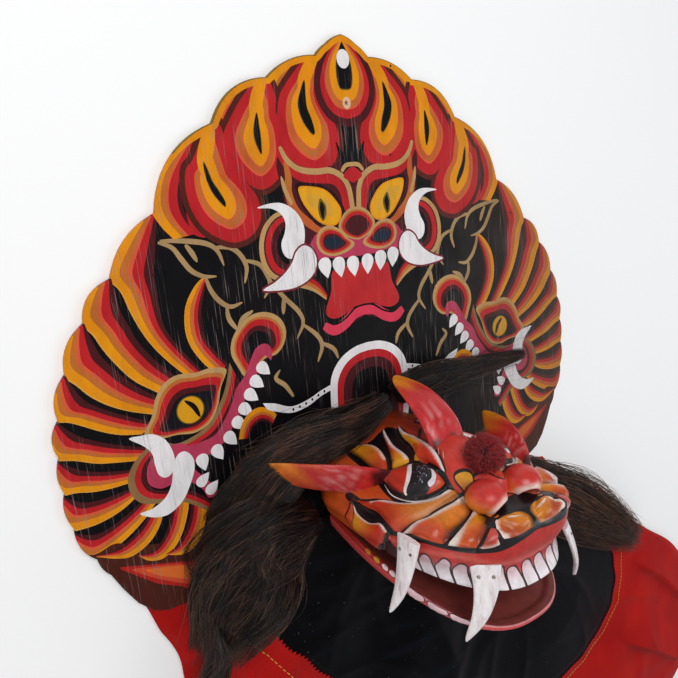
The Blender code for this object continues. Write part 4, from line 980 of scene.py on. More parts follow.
def head_skin(shares, columns, deeper=0.0):
    """Rows of the head's skin from the teeth up to the crown, or of a lining some way inside it."""
    keys = np.array(HEAD_ROWS)
    grid = np.zeros((len(shares), columns, 3))
    widest = keys[:, 1].max()
    for row, share in enumerate(shares):
        width, front, square, back_drop, middle_drop, front_drop = (
            float(through_keys(keys[:, 0], keys[:, column], share)) for column in range(1, 7))
        width = max(width, 0.0) * (widest - deeper) / widest
        x, z = u_curve(width, front - deeper, max(square, 2.0), GAP, columns)
        if share >= 1.0:
            x = np.zeros_like(x)
        depth = np.maximum(z, HEAD_BACK)
        y = CROWN_HEIGHT + brow_line(depth) * smoothstep(0.20, 0.80, share)
        y = y - through_stations(depth, back_drop, middle_drop, front_drop) - deeper * smoothstep(0.0,
                                                                                                  0.3,
                                                                                                  share)
        grid[row] = np.stack([x * (1.0 - NECK_TAPER * smoothstep(HEAD_BACK, 0.0, z)), y, z], axis=1)
    return grid


def skin_normals(grid):
    """Unit normals of a grid, turned outwards."""
    normal = np.cross(np.gradient(grid, axis=1), np.gradient(grid, axis=0))
    normal[:, 0, 0] = 0.0
    normal[-1, :, 0] = 0.0
    normal /= np.maximum(np.linalg.norm(normal, axis=2, keepdims=True), 1e-12)
    return normal if normal[len(normal) // 2, grid.shape[1] // 2][0] > 0 else -normal


def sampler(grid, width, height):
    """Places and normals on a grid that stands for a width by height rectangle of skin."""
    normals = skin_normals(grid)

    def at(flat):
        row = np.clip(flat[:, 1] / height, 0, 1) * (grid.shape[0] - 1)
        column = np.clip(flat[:, 0] / width, 0, 1) * (grid.shape[1] - 1)
        i = np.minimum(row.astype(int), grid.shape[0] - 2)
        j = np.minimum(column.astype(int), grid.shape[1] - 2)
        a, b = (row - i)[:, None], (column - j)[:, None]
        found = [(field[i, j] * (1 - b) + field[i, j + 1] * b) * (1 - a)
                 + (field[i + 1, j] * (1 - b) + field[i + 1, j + 1] * b) * a for field in (grid, normals)]
        return found[0], found[1] / np.maximum(np.linalg.norm(found[1], axis=1, keepdims=True), 1e-9)

    return at


plain = head_skin(np.linspace(0.0, 1.0, 131), 171)
swelling = sum(swell * np.exp(-(((plain - np.array(centre)) / np.array(reach)) ** 2).sum(axis=2))
               for centre, reach, swell in HEAD_SWELLS)
plain = plain + skin_normals(plain) * swelling[..., None]
on_head = sampler(plain, SKIN_ROUND, SKIN_RISE)
in_head = sampler(head_skin(np.linspace(0.0, 1.0, 41), 61, LINING_DEPTH), SKIN_ROUND, SKIN_RISE)
print("head skin", plain.shape)

# %% [markdown]
# ### Carved forms
# Each form is an outline on the skin. Inside it the wood stands a few millimetres proud: steep at
# the edge, where the chisel went down, then rounding up towards the middle. A narrow groove runs
# along the outside, and that is where the black paint sits. Points on the skin are written as text
# again, each as up,round in thousandths of the skin's height and length.

# %% Carved forms
def skin_line(points):
    """Points on the flat skin in metres, from text or from pairs of shares."""
    points = mm(points) if isinstance(points, str) else points
    return np.array([(around * SKIN_ROUND, up * SKIN_RISE) for up, around in points])


BROW_REAR = skin_line("657,863 713,813 763,763 776,695 744,619 685,579 640,606 648,674 657,754 647,810")
BROW_MIDDLE = skin_line("885,757 857,692 829,619 815,539 794,492 768,480 732,518 705,554 735,574 784,622 "
                        "820,680 848,726")
BROW_FRONT = skin_line("944,691 921,609 919,522 895,420 853,344 812,299 771,275 776,325 789,391 784,450 "
                       "822,463 862,522 880,589 909,652")
UNDER_EYE = skin_line("399,689 499,557 517,432 604,320 701,252 700,216 564,302 464,374 307,471 313,497 "
                      "368,517 441,595")
CHEEK_REAR = skin_line("291,463 337,429 430,372 543,303 638,234 685,206 664,196 594,217 499,257 316,333 "
                       "325,371 316,419")
CHEEK_FRONT = skin_line("293,299 385,237 507,192 596,157 553,152 419,169 322,200 268,226 272,256")
LIP_PLATE_OUTER = skin_line("270,207 305,190 349,155 316,132 288,103 266,128 252,153 249,184 253,204")
LIP_PLATE_INNER = skin_line("376,117 399,82 362,48 296,19 275,68 321,100")
JOWL_LEAF = skin_line("340,717 285,699 264,663 265,617 307,559 279,530 254,517 175,533 5,572 91,676 "
                      "236,703")
EYE = skin_line("627,584 688,549 732,495 761,435 765,362 746,310 731,278 709,266 651,296 590,347 549,415 "
                "555,477 585,533")
FORMS = [(outline, height, False) for outline,
         height in ((BROW_REAR, 0.0045), (BROW_MIDDLE, 0.0050), (BROW_FRONT, 0.0055), (UNDER_EYE, 0.0035),
                    (CHEEK_REAR, 0.0035), (CHEEK_FRONT, 0.0035), (LIP_PLATE_OUTER, 0.0035),
                    (LIP_PLATE_INNER, 0.0040), (JOWL_LEAF, 0.0040))]
FORMS.append((EYE, 0.0085, True))
NOSE_WING = (np.array((0.0228, -0.1090, 0.1940)), np.array((0.0185, 0.0150, 0.0195)))
NOSTRIL = (np.array((0.0165, -0.1185, 0.2130)), np.array((0.0120, 0.0095, 0.0140)))
GROOVE_DEPTH, GROOVE_REACH, FORM_MARGIN = 0.0009, 0.0013, 0.004


def away_from(points, line):
    """Distance of points from a polyline."""
    start, run = line[:-1], np.diff(line, axis=0)
    best = np.full(points.shape[:-1], np.inf)
    for a, step in zip(start, run):
        share = np.clip(((points - a) @ step) / max(step @ step, 1e-12), 0.0, 1.0)
        best = np.minimum(best, np.linalg.norm(points - a - share[..., None] * step, axis=-1))
    return best


def carved_height(flat):
    """How far the carving stands out of the plain skin."""
    height = np.zeros(len(flat))
    for outline, rise, domed in FORMS:
        edge = smooth_curve(outline, steps=5)
        low, high = edge.min(axis=0) - FORM_MARGIN, edge.max(axis=0) + FORM_MARGIN
        near = ((flat > low) & (flat < high)).all(axis=1).nonzero()[0]
        if len(near) == 0:
            continue
        depth = away_from(flat[near], np.vstack([edge, edge[:1]]))
        depth *= np.where(inside(flat[near], edge), 1.0, -1.0)
        if domed:
            t = np.clip(depth / 0.0105, 0.0, 1.0)
            lift = rise * np.sqrt(1 - (1 - t) ** 2)
        else:
            lift = rise * (0.5 * smoothstep(-0.0003, 0.0011, depth) + 0.5 * smoothstep(0.0, 0.0060, depth))
        groove = GROOVE_DEPTH * np.exp(-((depth + 0.0012) / GROOVE_REACH) ** 2)
        height[near] = np.maximum(height[near], lift) - groove
    return height


def head_places(flat):
    """Places of the carved head for points on the flat skin."""
    place, normal = on_head(flat)
    return place + normal * carved_height(flat)[:, None]


print("carved forms:", len(FORMS))

# %% [markdown]
# ### Painting the head
# The painter shades each form: a bright body colour that deepens across it, a white edge on the
# side of the light, and black in the grooves. A shading function mixes two paints across a form and
# adds the white by the distance from the form's lit edge.

# %% Shaded paints
GROOVE_BLACK = ink("150C10")
FLAME_RED = ink("C2351F")
DEEP_RED = ink("8A1F18")
PALE = ink("F1E6E2")


def shaded(first, second, start, end, lit=None, reach=0.004, light=PALE):
    """Paint that runs from one colour to another, with a white edge along the line called lit."""
    first, second, light = ink(first), ink(second), ink(light)
    start, end = skin_line(start)[0], skin_line(end)[0]
    run = end - start
    edge = None if lit is None else smooth_curve(skin_line(lit), closed=False, steps=5)

    def at(corners):
        share = smoothstep(0.0, 1.0, ((corners - start) @ run) / (run @ run))[..., None]
        colour = first * (1 - share) + second * share
        if edge is not None:
            glow = 1 - smoothstep(reach * 0.25, reach, away_from(corners, edge))[..., None]
            colour = colour * (1 - glow) + light * glow
        return colour

    return at


def form(outline, colour, groove=0.0019):
    """A carved form: black groove, then its shaded paint."""
    edge = smooth_curve(outline, steps=5)
    return [(inset(edge, -groove), GROOVE_BLACK), (inset(edge, 0.0004), colour)]


def base_coat(corners):
    """Ground of the head: red at the snout and crown, more orange over the cheeks and jowls."""
    around, up = corners[..., 0] / SKIN_ROUND, corners[..., 1] / SKIN_RISE
    share = (smoothstep(0.25, 0.60, around) * (1 - smoothstep(0.72, 0.95, up)))[..., None]
    colour = FLAME_RED * (1 - share) + ink("C8501E") * share
    dark = (smoothstep(0.84, 1.0, around) * 0.5)[..., None]
    return colour * (1 - dark) + DEEP_RED * dark


def outline_of(points):
    return smooth_curve(skin_line(points), steps=6)


def line_on(width, points, start=0.3, end=0.3):
    return stroke(skin_line(points), width, start, end)


def soft_edge(colour_at, reach, points, tint=GROOVE_BLACK, strength=0.85):
    """The same paint, darkened softly towards a line, as with a dry brush."""
    edge, tint = smooth_curve(skin_line(points), closed=False, steps=5), ink(tint)

    def at(corners):
        dark = strength * (1 - smoothstep(0.0, reach, away_from(corners, edge)))[..., None]
        return colour_at(corners) * (1 - dark) + tint * dark

    return at


CHEEK_REAR_PAINT = ("291,463 337,429 430,372 543,303 638,234 715,184 662,158 591,170 452,228 298,300 286,335 "
                    "300,376 310,425")
CHEEK_FRONT_PAINT = "272,303 353,251 493,192 620,148 501,136 362,159 292,194 253,219 256,258"
LIP_OUTER_PAINT = "251,213 289,188 345,146 305,120 290,150 262,150 247,146 240,190"
LIP_INNER_PAINT = "400,116 400,60 360,12 285,6 262,20 258,70 266,126 290,142 350,134"
UNDER_EYE_PAINT = ("399,689 470,610 499,550 517,432 604,320 701,252 700,210 622,246 531,310 400,384 310,452 "
                   "292,490 330,520 400,575")
WING_PAINT = "812,145 900,100 935,40 930,-10 780,-10 640,20 560,60 430,100 436,122 569,140 689,144"

head_strokes = [(skin_line("-10,-10 -10,1010 1010,1010 1010,-10"), base_coat),
                (outline_of("980,20 980,420 930,400 860,300 800,250 740,200 660,140 600,20"),
                 shaded("C42A24", "CF3C30", "620,50", "950,350", "800,275 850,325 900,400", 0.0055,
                        "E07068")),
                (outline_of("990,440 990,980 800,980 700,880 780,780 860,780 930,700 950,600"),
                 shaded("A8421A", "B8341C", "950,950", "950,450")),
                (outline_of("930,640 910,520 870,440 800,460 760,480 720,530 660,580 600,620 620,720 "
                            "630,860 700,840 780,770 860,760 910,750"),
                 GROOVE_BLACK),
                (outline_of("690,205 760,260 800,310 790,460 700,570 620,620 560,560 510,470 540,380 "
                            "600,320 670,260"),
                 GROOVE_BLACK),
                (outline_of("440,720 360,745 300,715 255,670 260,600 300,545 275,520 270,470 340,490 "
                            "400,560 440,630"),
                 shaded(GROOVE_BLACK, "2A1210", "300,620", "440,700"))]
head_strokes.append((outline_of("250,-20 430,-20 440,120 620,135 740,170 720,200 550,310 400,390 290,470 "
                                "262,440 250,300 235,200 240,100"),
                     GROOVE_BLACK))
head_strokes += form(BROW_REAR, soft_edge(shaded("E3921A", "C8401F", "700,800", "680,600",
                                                 "660,860 715,810 762,760 774,695 742,620", 0.0040,
                                                 "F2CDBE"), 0.0045, "650,810 657,754 648,674 640,610"))
head_strokes += form(BROW_MIDDLE, soft_edge(shaded("E39A1C", "C8341C", "740,520", "830,620",
                                                   "880,755 855,692 828,620 812,540 790,495",
                                                   0.0036), 0.003, "848,726 820,680 784,622 735,574"))
head_strokes += form(BROW_FRONT, shaded("E0921C", "C83420", "800,420", "850,400",
                                        "940,690 919,610 917,522 893,420 851,345 810,300 775,280", 0.0046))
head_strokes.append((outline_of("860,500 830,460 790,420 780,380 800,360 850,420 870,470"),
                     shaded("C83420", "D2521E", "820,380", "840,480")))
head_strokes += form(skin_line(UNDER_EYE_PAINT), soft_edge(
    shaded("C8761E", "C23A1E", "560,360", "400,520", "470,600 498,555 515,435 602,322 700,250", 0.0034),
    0.0050, "700,205 622,244 531,308 400,382 310,450", tint="6A2410"))
head_strokes += form(skin_line(CHEEK_REAR_PAINT), soft_edge(
    shaded("DA7A1C", "C8481C", "500,300", "360,330",
           "300,455 340,427 430,370 543,301 638,232 700,190", 0.0062, "EBDCD0"),
    0.0080, "700,165 591,168 452,226 298,298"))
head_strokes += form(skin_line(CHEEK_FRONT_PAINT), soft_edge(
    shaded("DE8A22", "C8501C", "420,210", "340,190",
           "262,300 353,250 493,191 600,152", 0.0060, "EFE2D6"),
    0.0085, "600,135 501,134 362,157 292,192"))
head_strokes += form(skin_line(LIP_OUTER_PAINT), soft_edge(
    shaded("C4443C", "B4402C", "310,150", "270,180", "252,212 244,190 250,150 262,150",
           0.0036, "F0DCD8"), 0.0050, "345,150 330,130 300,118"))
head_strokes += form(skin_line(LIP_INNER_PAINT), soft_edge(
    shaded("D98420", "B4481C", "360,60", "270,90", "395,118 345,134 290,140 266,122",
           0.0042, "EFD9CC"), 0.0050, "400,30 330,4 270,12"))
head_strokes.append((line_on(0.0030, "360,90 345,60 338,35"), "E9C8B4"))
head_strokes += form(JOWL_LEAF,
                     soft_edge(shaded("DD9420", "B8301C", "270,680", "180,580",
                                      "338,716 286,698 266,663 267,617 308,560 280,531", 0.0030),
                               0.0050, "250,520 170,533 0,570"))
print("head strokes so far:", len(head_strokes))

# %% Eyes and nose
eye_edge = smooth_curve(EYE, steps=6)
head_strokes += [(inset(eye_edge, -0.0024), GROOVE_BLACK),
                 (inset(eye_edge, 0.0012),
                  soft_edge(shaded("CC4438", "C6351F", "640,560", "660,470", "640,570 690,540 730,490",
                                   0.0034, "E39A90"),
                            0.0030, "600,530 560,470 556,420 600,350")),
                 (outline_of("760,452 760,425 700,404 640,402 562,418 558,436 620,430 690,436"), PALE),
                 (outline_of("762,430 764,370 752,330 700,318 640,328 595,350 562,400 560,424 620,412 "
                             "690,412"),
                  "0B080C"),
                 (outline_of("742,334 738,318 712,306 672,312 640,330 655,338 690,324 722,326"),
                  "DCD6DC"),
                 (outline_of("740,310 728,282 709,272 668,292 630,320 672,304 712,298"), "C8481F")]
HIGHLIGHT_SPECKS = 46
dice = np.random.default_rng(3)
for _ in range(HIGHLIGHT_SPECKS):
    up, around = dice.normal(0.700, 0.028), dice.normal(0.366, 0.020)
    size = dice.uniform(0.00025, 0.00060)
    speck = oval(around * SKIN_ROUND, up * SKIN_RISE, size, size * dice.uniform(0.6, 1.6),
                 dice.uniform(0, 180), 9)
    head_strokes.append((speck, "7C8CA6" if dice.uniform() < 0.7 else "C3CCDA"))
NOSTRIL_RING = outline_of("785,226 836,190 856,152 827,140 769,152 735,166 755,190")
head_strokes += [
    (line_on(0.0016, "600,565 545,500 535,420 575,350 640,290 690,258"), PALE),
    (inset(outline_of(WING_PAINT), -0.0034), GROOVE_BLACK),
    (outline_of(WING_PAINT), shaded("CC3326", "DA7420", "860,50", "560,120")),
    (inset(NOSTRIL_RING, -0.0026), GROOVE_BLACK),
    (NOSTRIL_RING, shaded("E09A20", "CC6A1C", "830,180", "750,170")),
    (outline_of("600,-20 600,45 560,85 470,100 420,90 400,60 395,-20"), "120A0C"),
    (line_on(0.0050, "470,95 435,130 400,150 360,155", start=0.9, end=0.3), GROOVE_BLACK),
    (line_on(0.0042, "990,560 955,530 915,500", start=1.0, end=0.4), GROOVE_BLACK),
]
BROW_STRIPES = ((0.890, 0.395, 60), (0.875, 0.365, 55), (0.905, 0.420, 65), (0.862, 0.335, 50),
                (0.850, 0.300, 48))
for up, around, turn in BROW_STRIPES:
    head_strokes.append((oval(around * SKIN_ROUND, up * SKIN_RISE, 0.0042, 0.0007, turn, 14), "EFA9A2"))
print("eyes and nose painted")

# %% Lips and teeth
LIP_TOP = "262,-20 250,50 240,138 246,200 255,251 272,324 284,375 282,441 268,500 255,520"
TOOTH_TOP_AT = (0.0, 0.062, 0.130, 0.180, 0.231, 0.290, 0.360, 0.410, 0.480)
TOOTH_TOP_UP = (0.120, 0.128, 0.146, 0.172, 0.192, 0.208, 0.208, 0.214, 0.210)


def gum_paint(corners):
    """Glossy red at the lip's line that turns pink between the teeth."""
    around, up = corners[..., 0] / SKIN_ROUND, corners[..., 1] / SKIN_RISE
    top = np.interp(around, TOOTH_TOP_AT, TOOTH_TOP_UP)
    low = (1 - smoothstep(-0.10, 0.015, up - top))[..., None]
    edge = smoothstep(0.02, 0.0, np.abs(up - top - 0.022))[..., None] * 0.55
    colour = ink("B92B25") * (1 - low) + ink("C2605C") * low
    return colour * (1 - edge) + ink("DE6A58") * edge


head_strokes.append((np.vstack([smooth_curve(skin_line(LIP_TOP), closed=False, steps=6),
                                skin_line("50,560 -20,570 -20,-20")]), gum_paint))
head_strokes.append((line_on(0.0036, LIP_TOP, start=1.0, end=0.6), GROOVE_BLACK))
TOOTH_COUNT, TOOTH_STEP, TOOTH_HALF = 8, 0.0166, 0.0070
for k in range(TOOTH_COUNT):
    middle = (k + 0.5) * TOOTH_STEP
    top = np.interp(middle / SKIN_ROUND, TOOTH_TOP_AT, TOOTH_TOP_UP) * SKIN_RISE
    top = top - 0.0006 + 0.0012 * math.sin(4.1 * k + 1.0)
    lean = 0.0012 * math.sin(2.3 * k)
    near_side, far_side = middle - TOOTH_HALF, middle + TOOTH_HALF
    points = [(near_side, -0.002), (near_side, top * 0.40), (middle - TOOTH_HALF * 0.72 + lean, top * 0.86),
              (middle + lean, top), (middle + TOOTH_HALF * 0.62 + lean, top * 0.90),
              (middle + TOOTH_HALF * 0.96, top * 0.45), (far_side, -0.002)]
    tooth = smooth_curve(points, closed=False, steps=6)
    head_strokes += [(inset(tooth, -0.0017), "3C1219"),
                     (tooth, shaded("EDE6EA", "D9B4BC", "20,100", [(top / SKIN_RISE, 0.1)]))]
head_strokes += [
    (outline_of("-20,460 120,470 200,500 210,530 100,550 -20,580"), "2A0A0C"),
    (line_on(0.0030, "270,520 170,535 0,575", start=0.8, end=0.8), GROOVE_BLACK),
    (line_on(0.0022, "400,700 300,735 150,740 0,720", start=0.6, end=0.6), "5A1610"),
]
print("head strokes:", len(head_strokes))

# %% [markdown]
# ### From painting to wood
# One half is triangulated on the flat skin, laid on the carved form, lined and mirrored. The inside
# is left as bare wood, hollow for the hand that works the jaw.

# %% Painted, lined and mirrored halves
def rectangle(width, height, step):
    """Closed rectangle with points at about one step from each other."""
    across_count, up_count = int(width / step), int(height / step)
    x, y = np.linspace(0, width, across_count + 1), np.linspace(0, height, up_count + 1)
    return np.vstack([np.column_stack([x[:-1], np.zeros(across_count)]),
                      np.column_stack([np.full(up_count, width), y[:-1]]),
                      np.column_stack([x[:0:-1], np.full(across_count, height)]),
                      np.column_stack([np.zeros(up_count), y[:0:-1]])])


LINING_MARGIN, LINING_STEP = 0.008, 0.012


def painted_half(places_of, lining_of, size, strokes, ground, spacing, lining_paint):
    """Vertices, triangles and corner colours of a closed half with its lining."""
    border = rectangle(*size, spacing)
    flat, triangles = triangulate([border], strokes, spacing)
    keep = inside(flat[triangles].mean(axis=1), border)
    triangles = triangles[keep]
    paint = colours_of(flat, triangles, strokes, ground)
    loop = edge_loops(triangles)[0]
    vertices, faces, colours = [places_of(flat)], [triangles], [paint]
    if lining_of is not None:
        rim_flat = flat[loop]
        points = [Vector(point) for point in rim_flat]
        across, up = (np.arange(LINING_MARGIN, span - 0.006, LINING_STEP) for span in size)
        grid = np.stack(np.meshgrid(across, up), axis=2).reshape(-1, 2)
        edges = [(k, (k + 1) % len(points)) for k in range(len(points))]
        found = delaunay_2d_cdt(points + [Vector(point) for point in grid], edges, [], 0, 1e-9, True)
        lining = np.array(found[2])
        lining_flat = np.array([tuple(point) for point in found[0]])
        lining = lining[inside(lining_flat[lining].mean(axis=1), rim_flat)]
        origin = {group[0]: k for k, group in enumerate(found[3]) if group}
        base = len(flat)
        vertices.append(lining_of(lining_flat))
        faces.append(lining[:, ::-1] + base)
        inner = np.array([origin[k] for k in range(len(loop))]) + base
        edge_ok = on_rim(rim_flat, np.roll(rim_flat, -1, axis=0), size)
        a, b, c, d = loop, inner, np.roll(inner, -1), np.roll(loop, -1)
        faces += [np.stack([a, b, c], axis=1)[edge_ok], np.stack([a, c, d], axis=1)[edge_ok]]
        extra = len(lining) + 2 * int(edge_ok.sum())
        colours.append(np.tile(lining_paint, (extra, 3, 1)))
    return np.vstack(vertices), np.vstack(faces), np.vstack(colours)


def on_rim(first, second, size):
    """Edges that are a free rim: along the teeth or along the board, not on the middle plane."""
    lower = (first[:, 1] < 1e-6) & (second[:, 1] < 1e-6)
    behind = (first[:, 0] > size[0] - 1e-6) & (second[:, 0] > size[0] - 1e-6)
    return lower | behind


def mirror_and_close(name, vertices, faces, colours, merge=0.00002):
    """A half and its mirror image, merged along the middle plane and lifted onto the board."""
    vertices[np.abs(vertices[:, 0]) < 0.00003, 0] = 0.0
    flipped = vertices * (-1, 1, 1)
    made = mesh_object(name, np.vstack([vertices, flipped]) + (0, 0, BOARD_THICKNESS),
                       np.vstack([faces, faces[:, ::-1] + len(vertices)]))
    colour_layer(made.data, "paint", "CORNER", np.vstack([colours, colours[:, ::-1]]).reshape(-1, 3))
    close_up(made, merge)
    bpy.ops.object.shade_smooth()
    return made


HEAD_MESH_STEP = 0.0019
vertices, faces, colours = painted_half(head_places, lambda flat: in_head(flat)[0], (SKIN_ROUND, SKIN_RISE),
                                        head_strokes, FLAME_RED, HEAD_MESH_STEP, ink("8A6238"))
head = mirror_and_close("head_carving", vertices, faces, colours)
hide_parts("head")
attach(head, "mask")
print("head:", len(head.data.polygons), "triangles")

# %% Wood enamel of the carved pieces
def carved_enamel(name, roughness, streak):
    """Painted colours on carved wood, with brush marks and small worn specks."""
    made, tree, shader = finish_of(name, roughness)
    colour = add_node(tree, "ShaderNodeAttribute", attribute_name="paint").outputs["Color"]
    brush = noise(tree, streak, 7.0, 0.7)
    shade = ramp(tree, brush, (0.28, 0.72), (0.50, 1.0), (0.74, 1.22))
    colour = mix_colour(tree, 1.0, colour, shade, "MULTIPLY")
    scuff, patch = noise(tree, 260.0, 5.0, 0.75), noise(tree, 22.0)
    specks = ramp(tree, scuff, (0.66, 0.0), (0.70, 0.5))
    wear = mix_colour(tree, 1.0, specks, ramp(tree, patch, (0.50, 0.0), (0.62, 1.0)), "MULTIPLY")
    colour = mix_colour(tree, wear, colour, (0.42, 0.30, 0.20))
    tree.links.new(colour, shader.inputs["Base Color"])
    gloss = ramp(tree, patch, (0.3, roughness - 0.10), (0.7, roughness + 0.12))
    tree.links.new(gloss, shader.inputs["Roughness"])
    fine = bump(tree, brush, 0.35, 0.0009, shader)
    bump(tree, scuff, 0.12, 0.0004, shader, fine)
    return made


head_enamel = carved_enamel("head_enamel", 0.36, (130.0, 90.0, 55.0))
head.data.materials.append(head_enamel)
print("head enamel ready")

# %% [markdown]
# ### Nose wings
# Two round wings bulge beside the bridge, each hollowed in front by a nostril. A ball is squashed to
# the wing's axes and a second ball is cut away with a Boolean, as a gouge would scoop the wood.

# %% Nose wings
def ball(name, centre, half_axes, segments, ring_count):
    bpy.ops.object.select_all(action="DESELECT")
    bpy.ops.mesh.primitive_uv_sphere_add(segments=segments, ring_count=ring_count, radius=1.0,
                                         location=tuple(centre + (0, 0, BOARD_THICKNESS)))
    made = bpy.context.object
    made.name = name
    made.scale = tuple(half_axes)
    bpy.ops.object.transform_apply(location=True, rotation=True, scale=True)
    return made


def painted_by(obj, colour_at):
    """Corner colours from a function of the corners' places."""
    mesh = obj.data
    places = np.zeros(len(mesh.vertices) * 3)
    mesh.vertices.foreach_get("co", places)
    numbers = np.zeros(len(mesh.loops), int)
    mesh.loops.foreach_get("vertex_index", numbers)
    colour_layer(mesh, "paint", "CORNER", colour_at(places.reshape(-1, 3)[numbers]))


wings = []
for side in (-1, 1):
    flip_side = np.array((side, 1, 1))
    wing = ball("nose_wing_%s" % ("left" if side < 0 else "right"), NOSE_WING[0] * flip_side,
                NOSE_WING[1], 56, 36)
    scoop = ball("scoop", NOSTRIL[0] * flip_side, NOSTRIL[1], 40, 28)
    cut = wing.modifiers.new("scoop", "BOOLEAN")
    cut.operation = "DIFFERENCE"
    cut.solver = "EXACT"
    cut.object = scoop
    select_only(wing)
    bpy.ops.object.modifier_apply(modifier="scoop")
    bpy.data.objects.remove(scoop, do_unlink=True)
    nostril_centre = NOSTRIL[0] * flip_side + (0, 0, BOARD_THICKNESS)
    wing_centre = NOSE_WING[0] * flip_side + (0, 0, BOARD_THICKNESS)

    def wing_colour(places, nostril_centre=nostril_centre, wing_centre=wing_centre):
        ring = np.sqrt((((places - nostril_centre) / NOSTRIL[1]) ** 2).sum(axis=1))
        low = smoothstep(0.012, -0.004,
                         places[:, 1] - wing_centre[1] + 0.4 * (places[:, 2] - wing_centre[2]))[:, None]
        colour = ink("C8302A") * (1 - low) + ink("DC7C24") * low
        white = (1 - smoothstep(1.10, 1.75, ring))[:, None] * 0.92
        colour = colour * (1 - white) + ink("F0D6CC") * white
        pink = (1 - smoothstep(0.98, 1.08, ring))[:, None]
        colour = colour * (1 - pink) + ink("C2404A") * pink
        dark = ((ring < 1.02)
                * (1 - smoothstep(-0.0115, -0.0075, places[:, 2] - nostril_centre[2])))[:, None]
        colour = colour * (1 - dark) + ink("0E090B") * dark
        seam = (1
                - smoothstep(-0.0125, -0.0095,
                             places[:, 2] - wing_centre[2]
                             + 0.25 * (wing_centre[1] - places[:, 1])))[:, None]
        return colour * (1 - seam) + GROOVE_BLACK * seam

    painted_by(wing, wing_colour)
    bpy.ops.object.shade_smooth_by_angle(angle=math.radians(40))
    wing.data.materials.append(head_enamel)
    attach(wing, "mask")
    wings.append(wing)
print("nose wings:", [len(wing.data.polygons) for wing in wings])

# %% [markdown]
# ## Lower jaw
# The jaw is a carved scoop on a hinge hidden in the head. Its flat floor is maroon, its rim is pink
# and red, and teeth are painted along the side below the rim. It is built as the head's skin was: a
# grid of rows from the middle of the floor over the rim down to the keel, painted and mirrored.

# %% Jaw
HINGE_HEIGHT, HINGE_DEPTH = -0.160, 0.044
JAW_LENGTH, JAW_HALF_WIDTH = 0.193, 0.0885
JAW_OPEN_ANGLE = math.radians(17.2)
JAW_RIM_BELOW_HINGE, JAW_TAIL, JAW_RECESS = 0.0062, 0.010, 0.0025
JAW_REAR_DEPTH, JAW_FRONT_DEPTH, JAW_SQUARENESS = 0.036, 0.017, 2.6
JAW_ROWS = np.array((
    (0.00, 0.600, 0.00, 1.0), (0.45, 0.800, 0.00, 1.0), (0.90, 0.945, 0.00, 1.0), (0.925, 0.962, 0.00, 0.0),
    (1.00, 1.000, 0.00, 0.0), (1.01, 1.005, 0.18, 0.0), (0.98, 0.985, 0.50, 0.0), (0.88, 0.920, 0.80, 0.0),
    (0.55, 0.720, 1.00, 0.0), (0.00, 0.450, 1.08, 0.0),
))
JAW_ROW_PLACES = np.array((0.0, 0.040, 0.078, 0.082, 0.088, 0.094, 0.104, 0.116, 0.140, 0.180))
JAW_SKIN = (0.250, 0.180)


def jaw_grid(rows=181, columns=121):
    """Rows from the middle of the floor to the keel, turned open about the hinge."""
    where = np.linspace(0.0, JAW_ROW_PLACES[-1], rows)
    table = np.stack([np.interp(where, JAW_ROW_PLACES, JAW_ROWS[:, k]) for k in range(4)], axis=1)
    grid = np.zeros((rows, columns, 3))
    for row, (width, length, drop, recess) in enumerate(table):
        x, z = u_curve(JAW_HALF_WIDTH * max(width, 1e-6), JAW_LENGTH * length, JAW_SQUARENESS, -JAW_TAIL,
                       columns)
        depth = JAW_REAR_DEPTH + (JAW_FRONT_DEPTH - JAW_REAR_DEPTH) * smoothstep(0.0, JAW_LENGTH, z)
        y = -JAW_RIM_BELOW_HINGE - drop * depth - recess * JAW_RECESS
        grid[row] = np.stack([x, y, z], axis=1)
    grid[0, :, 0] = grid[-1, :, 0] = 0.0
    turn = np.array(((1, 0, 0), (0, math.cos(JAW_OPEN_ANGLE), -math.sin(JAW_OPEN_ANGLE)),
                     (0, math.sin(JAW_OPEN_ANGLE), math.cos(JAW_OPEN_ANGLE))))
    return grid @ turn.T + (0.0, HINGE_HEIGHT, HINGE_DEPTH)


on_jaw = sampler(jaw_grid(), *JAW_SKIN)


def jaw_band(low, high, colour, front=-0.002, rear=0.252):
    """A strip of the jaw's skin between two rows; its edges have many points, to follow the curve."""
    run = np.linspace(front, rear, 110)
    ahead = np.column_stack([run, np.full(110, low)])
    back = np.column_stack([run[::-1], np.full(110, high)])
    return (np.vstack([ahead, back]), colour)


def jaw_side(corners):
    share = smoothstep(0.090, 0.125, corners[..., 1])[..., None]
    return ink("D24A4A") * (1 - share) + ink("A3261F") * share


PAINTED_TEETH = ((0.075, 0.0085), (0.097, 0.0095), (0.121, 0.0090))
jaw_strokes = [
    jaw_band(-0.004, 0.0872, "76302A"), jaw_band(0.0872, 0.0900, "CE7A80"),
    jaw_band(0.0900, 0.184, jaw_side), jaw_band(0.0850, 0.0925, "A82A24", 0.140),
    filled("62,2 66,16 78,27 96,36 120,41 145,40 160,30 165,15 162,2", "150709"),
]
for k, (middle, half) in enumerate(PAINTED_TEETH):
    low = 0.0892 + 0.0006 * (k % 2)
    points = [(middle - half, low), (middle, low - 0.0006), (middle + half, low),
              (middle + half * 0.95, low + 0.008), (middle + half * 0.2, low + 0.0160),
              (middle - half * 0.9, low + 0.009)]
    tooth = smooth_curve(points, steps=6)
    jaw_strokes += [(inset(tooth, -0.0012), "4A151C"), (tooth, "EBC4C8")]
for middle, colour in ((0.150, "F0DEDC"), (0.160, "F0DEDC"), (0.172, "D9962A"), (0.185, "D07A24")):
    jaw_strokes.append((oval(middle, 0.0885, 0.0042, 0.0030), colour))
jaw_strokes.append(jaw_band(0.1085, 0.1100, "7A1C1A"))
JAW_MESH_STEP = 0.0026
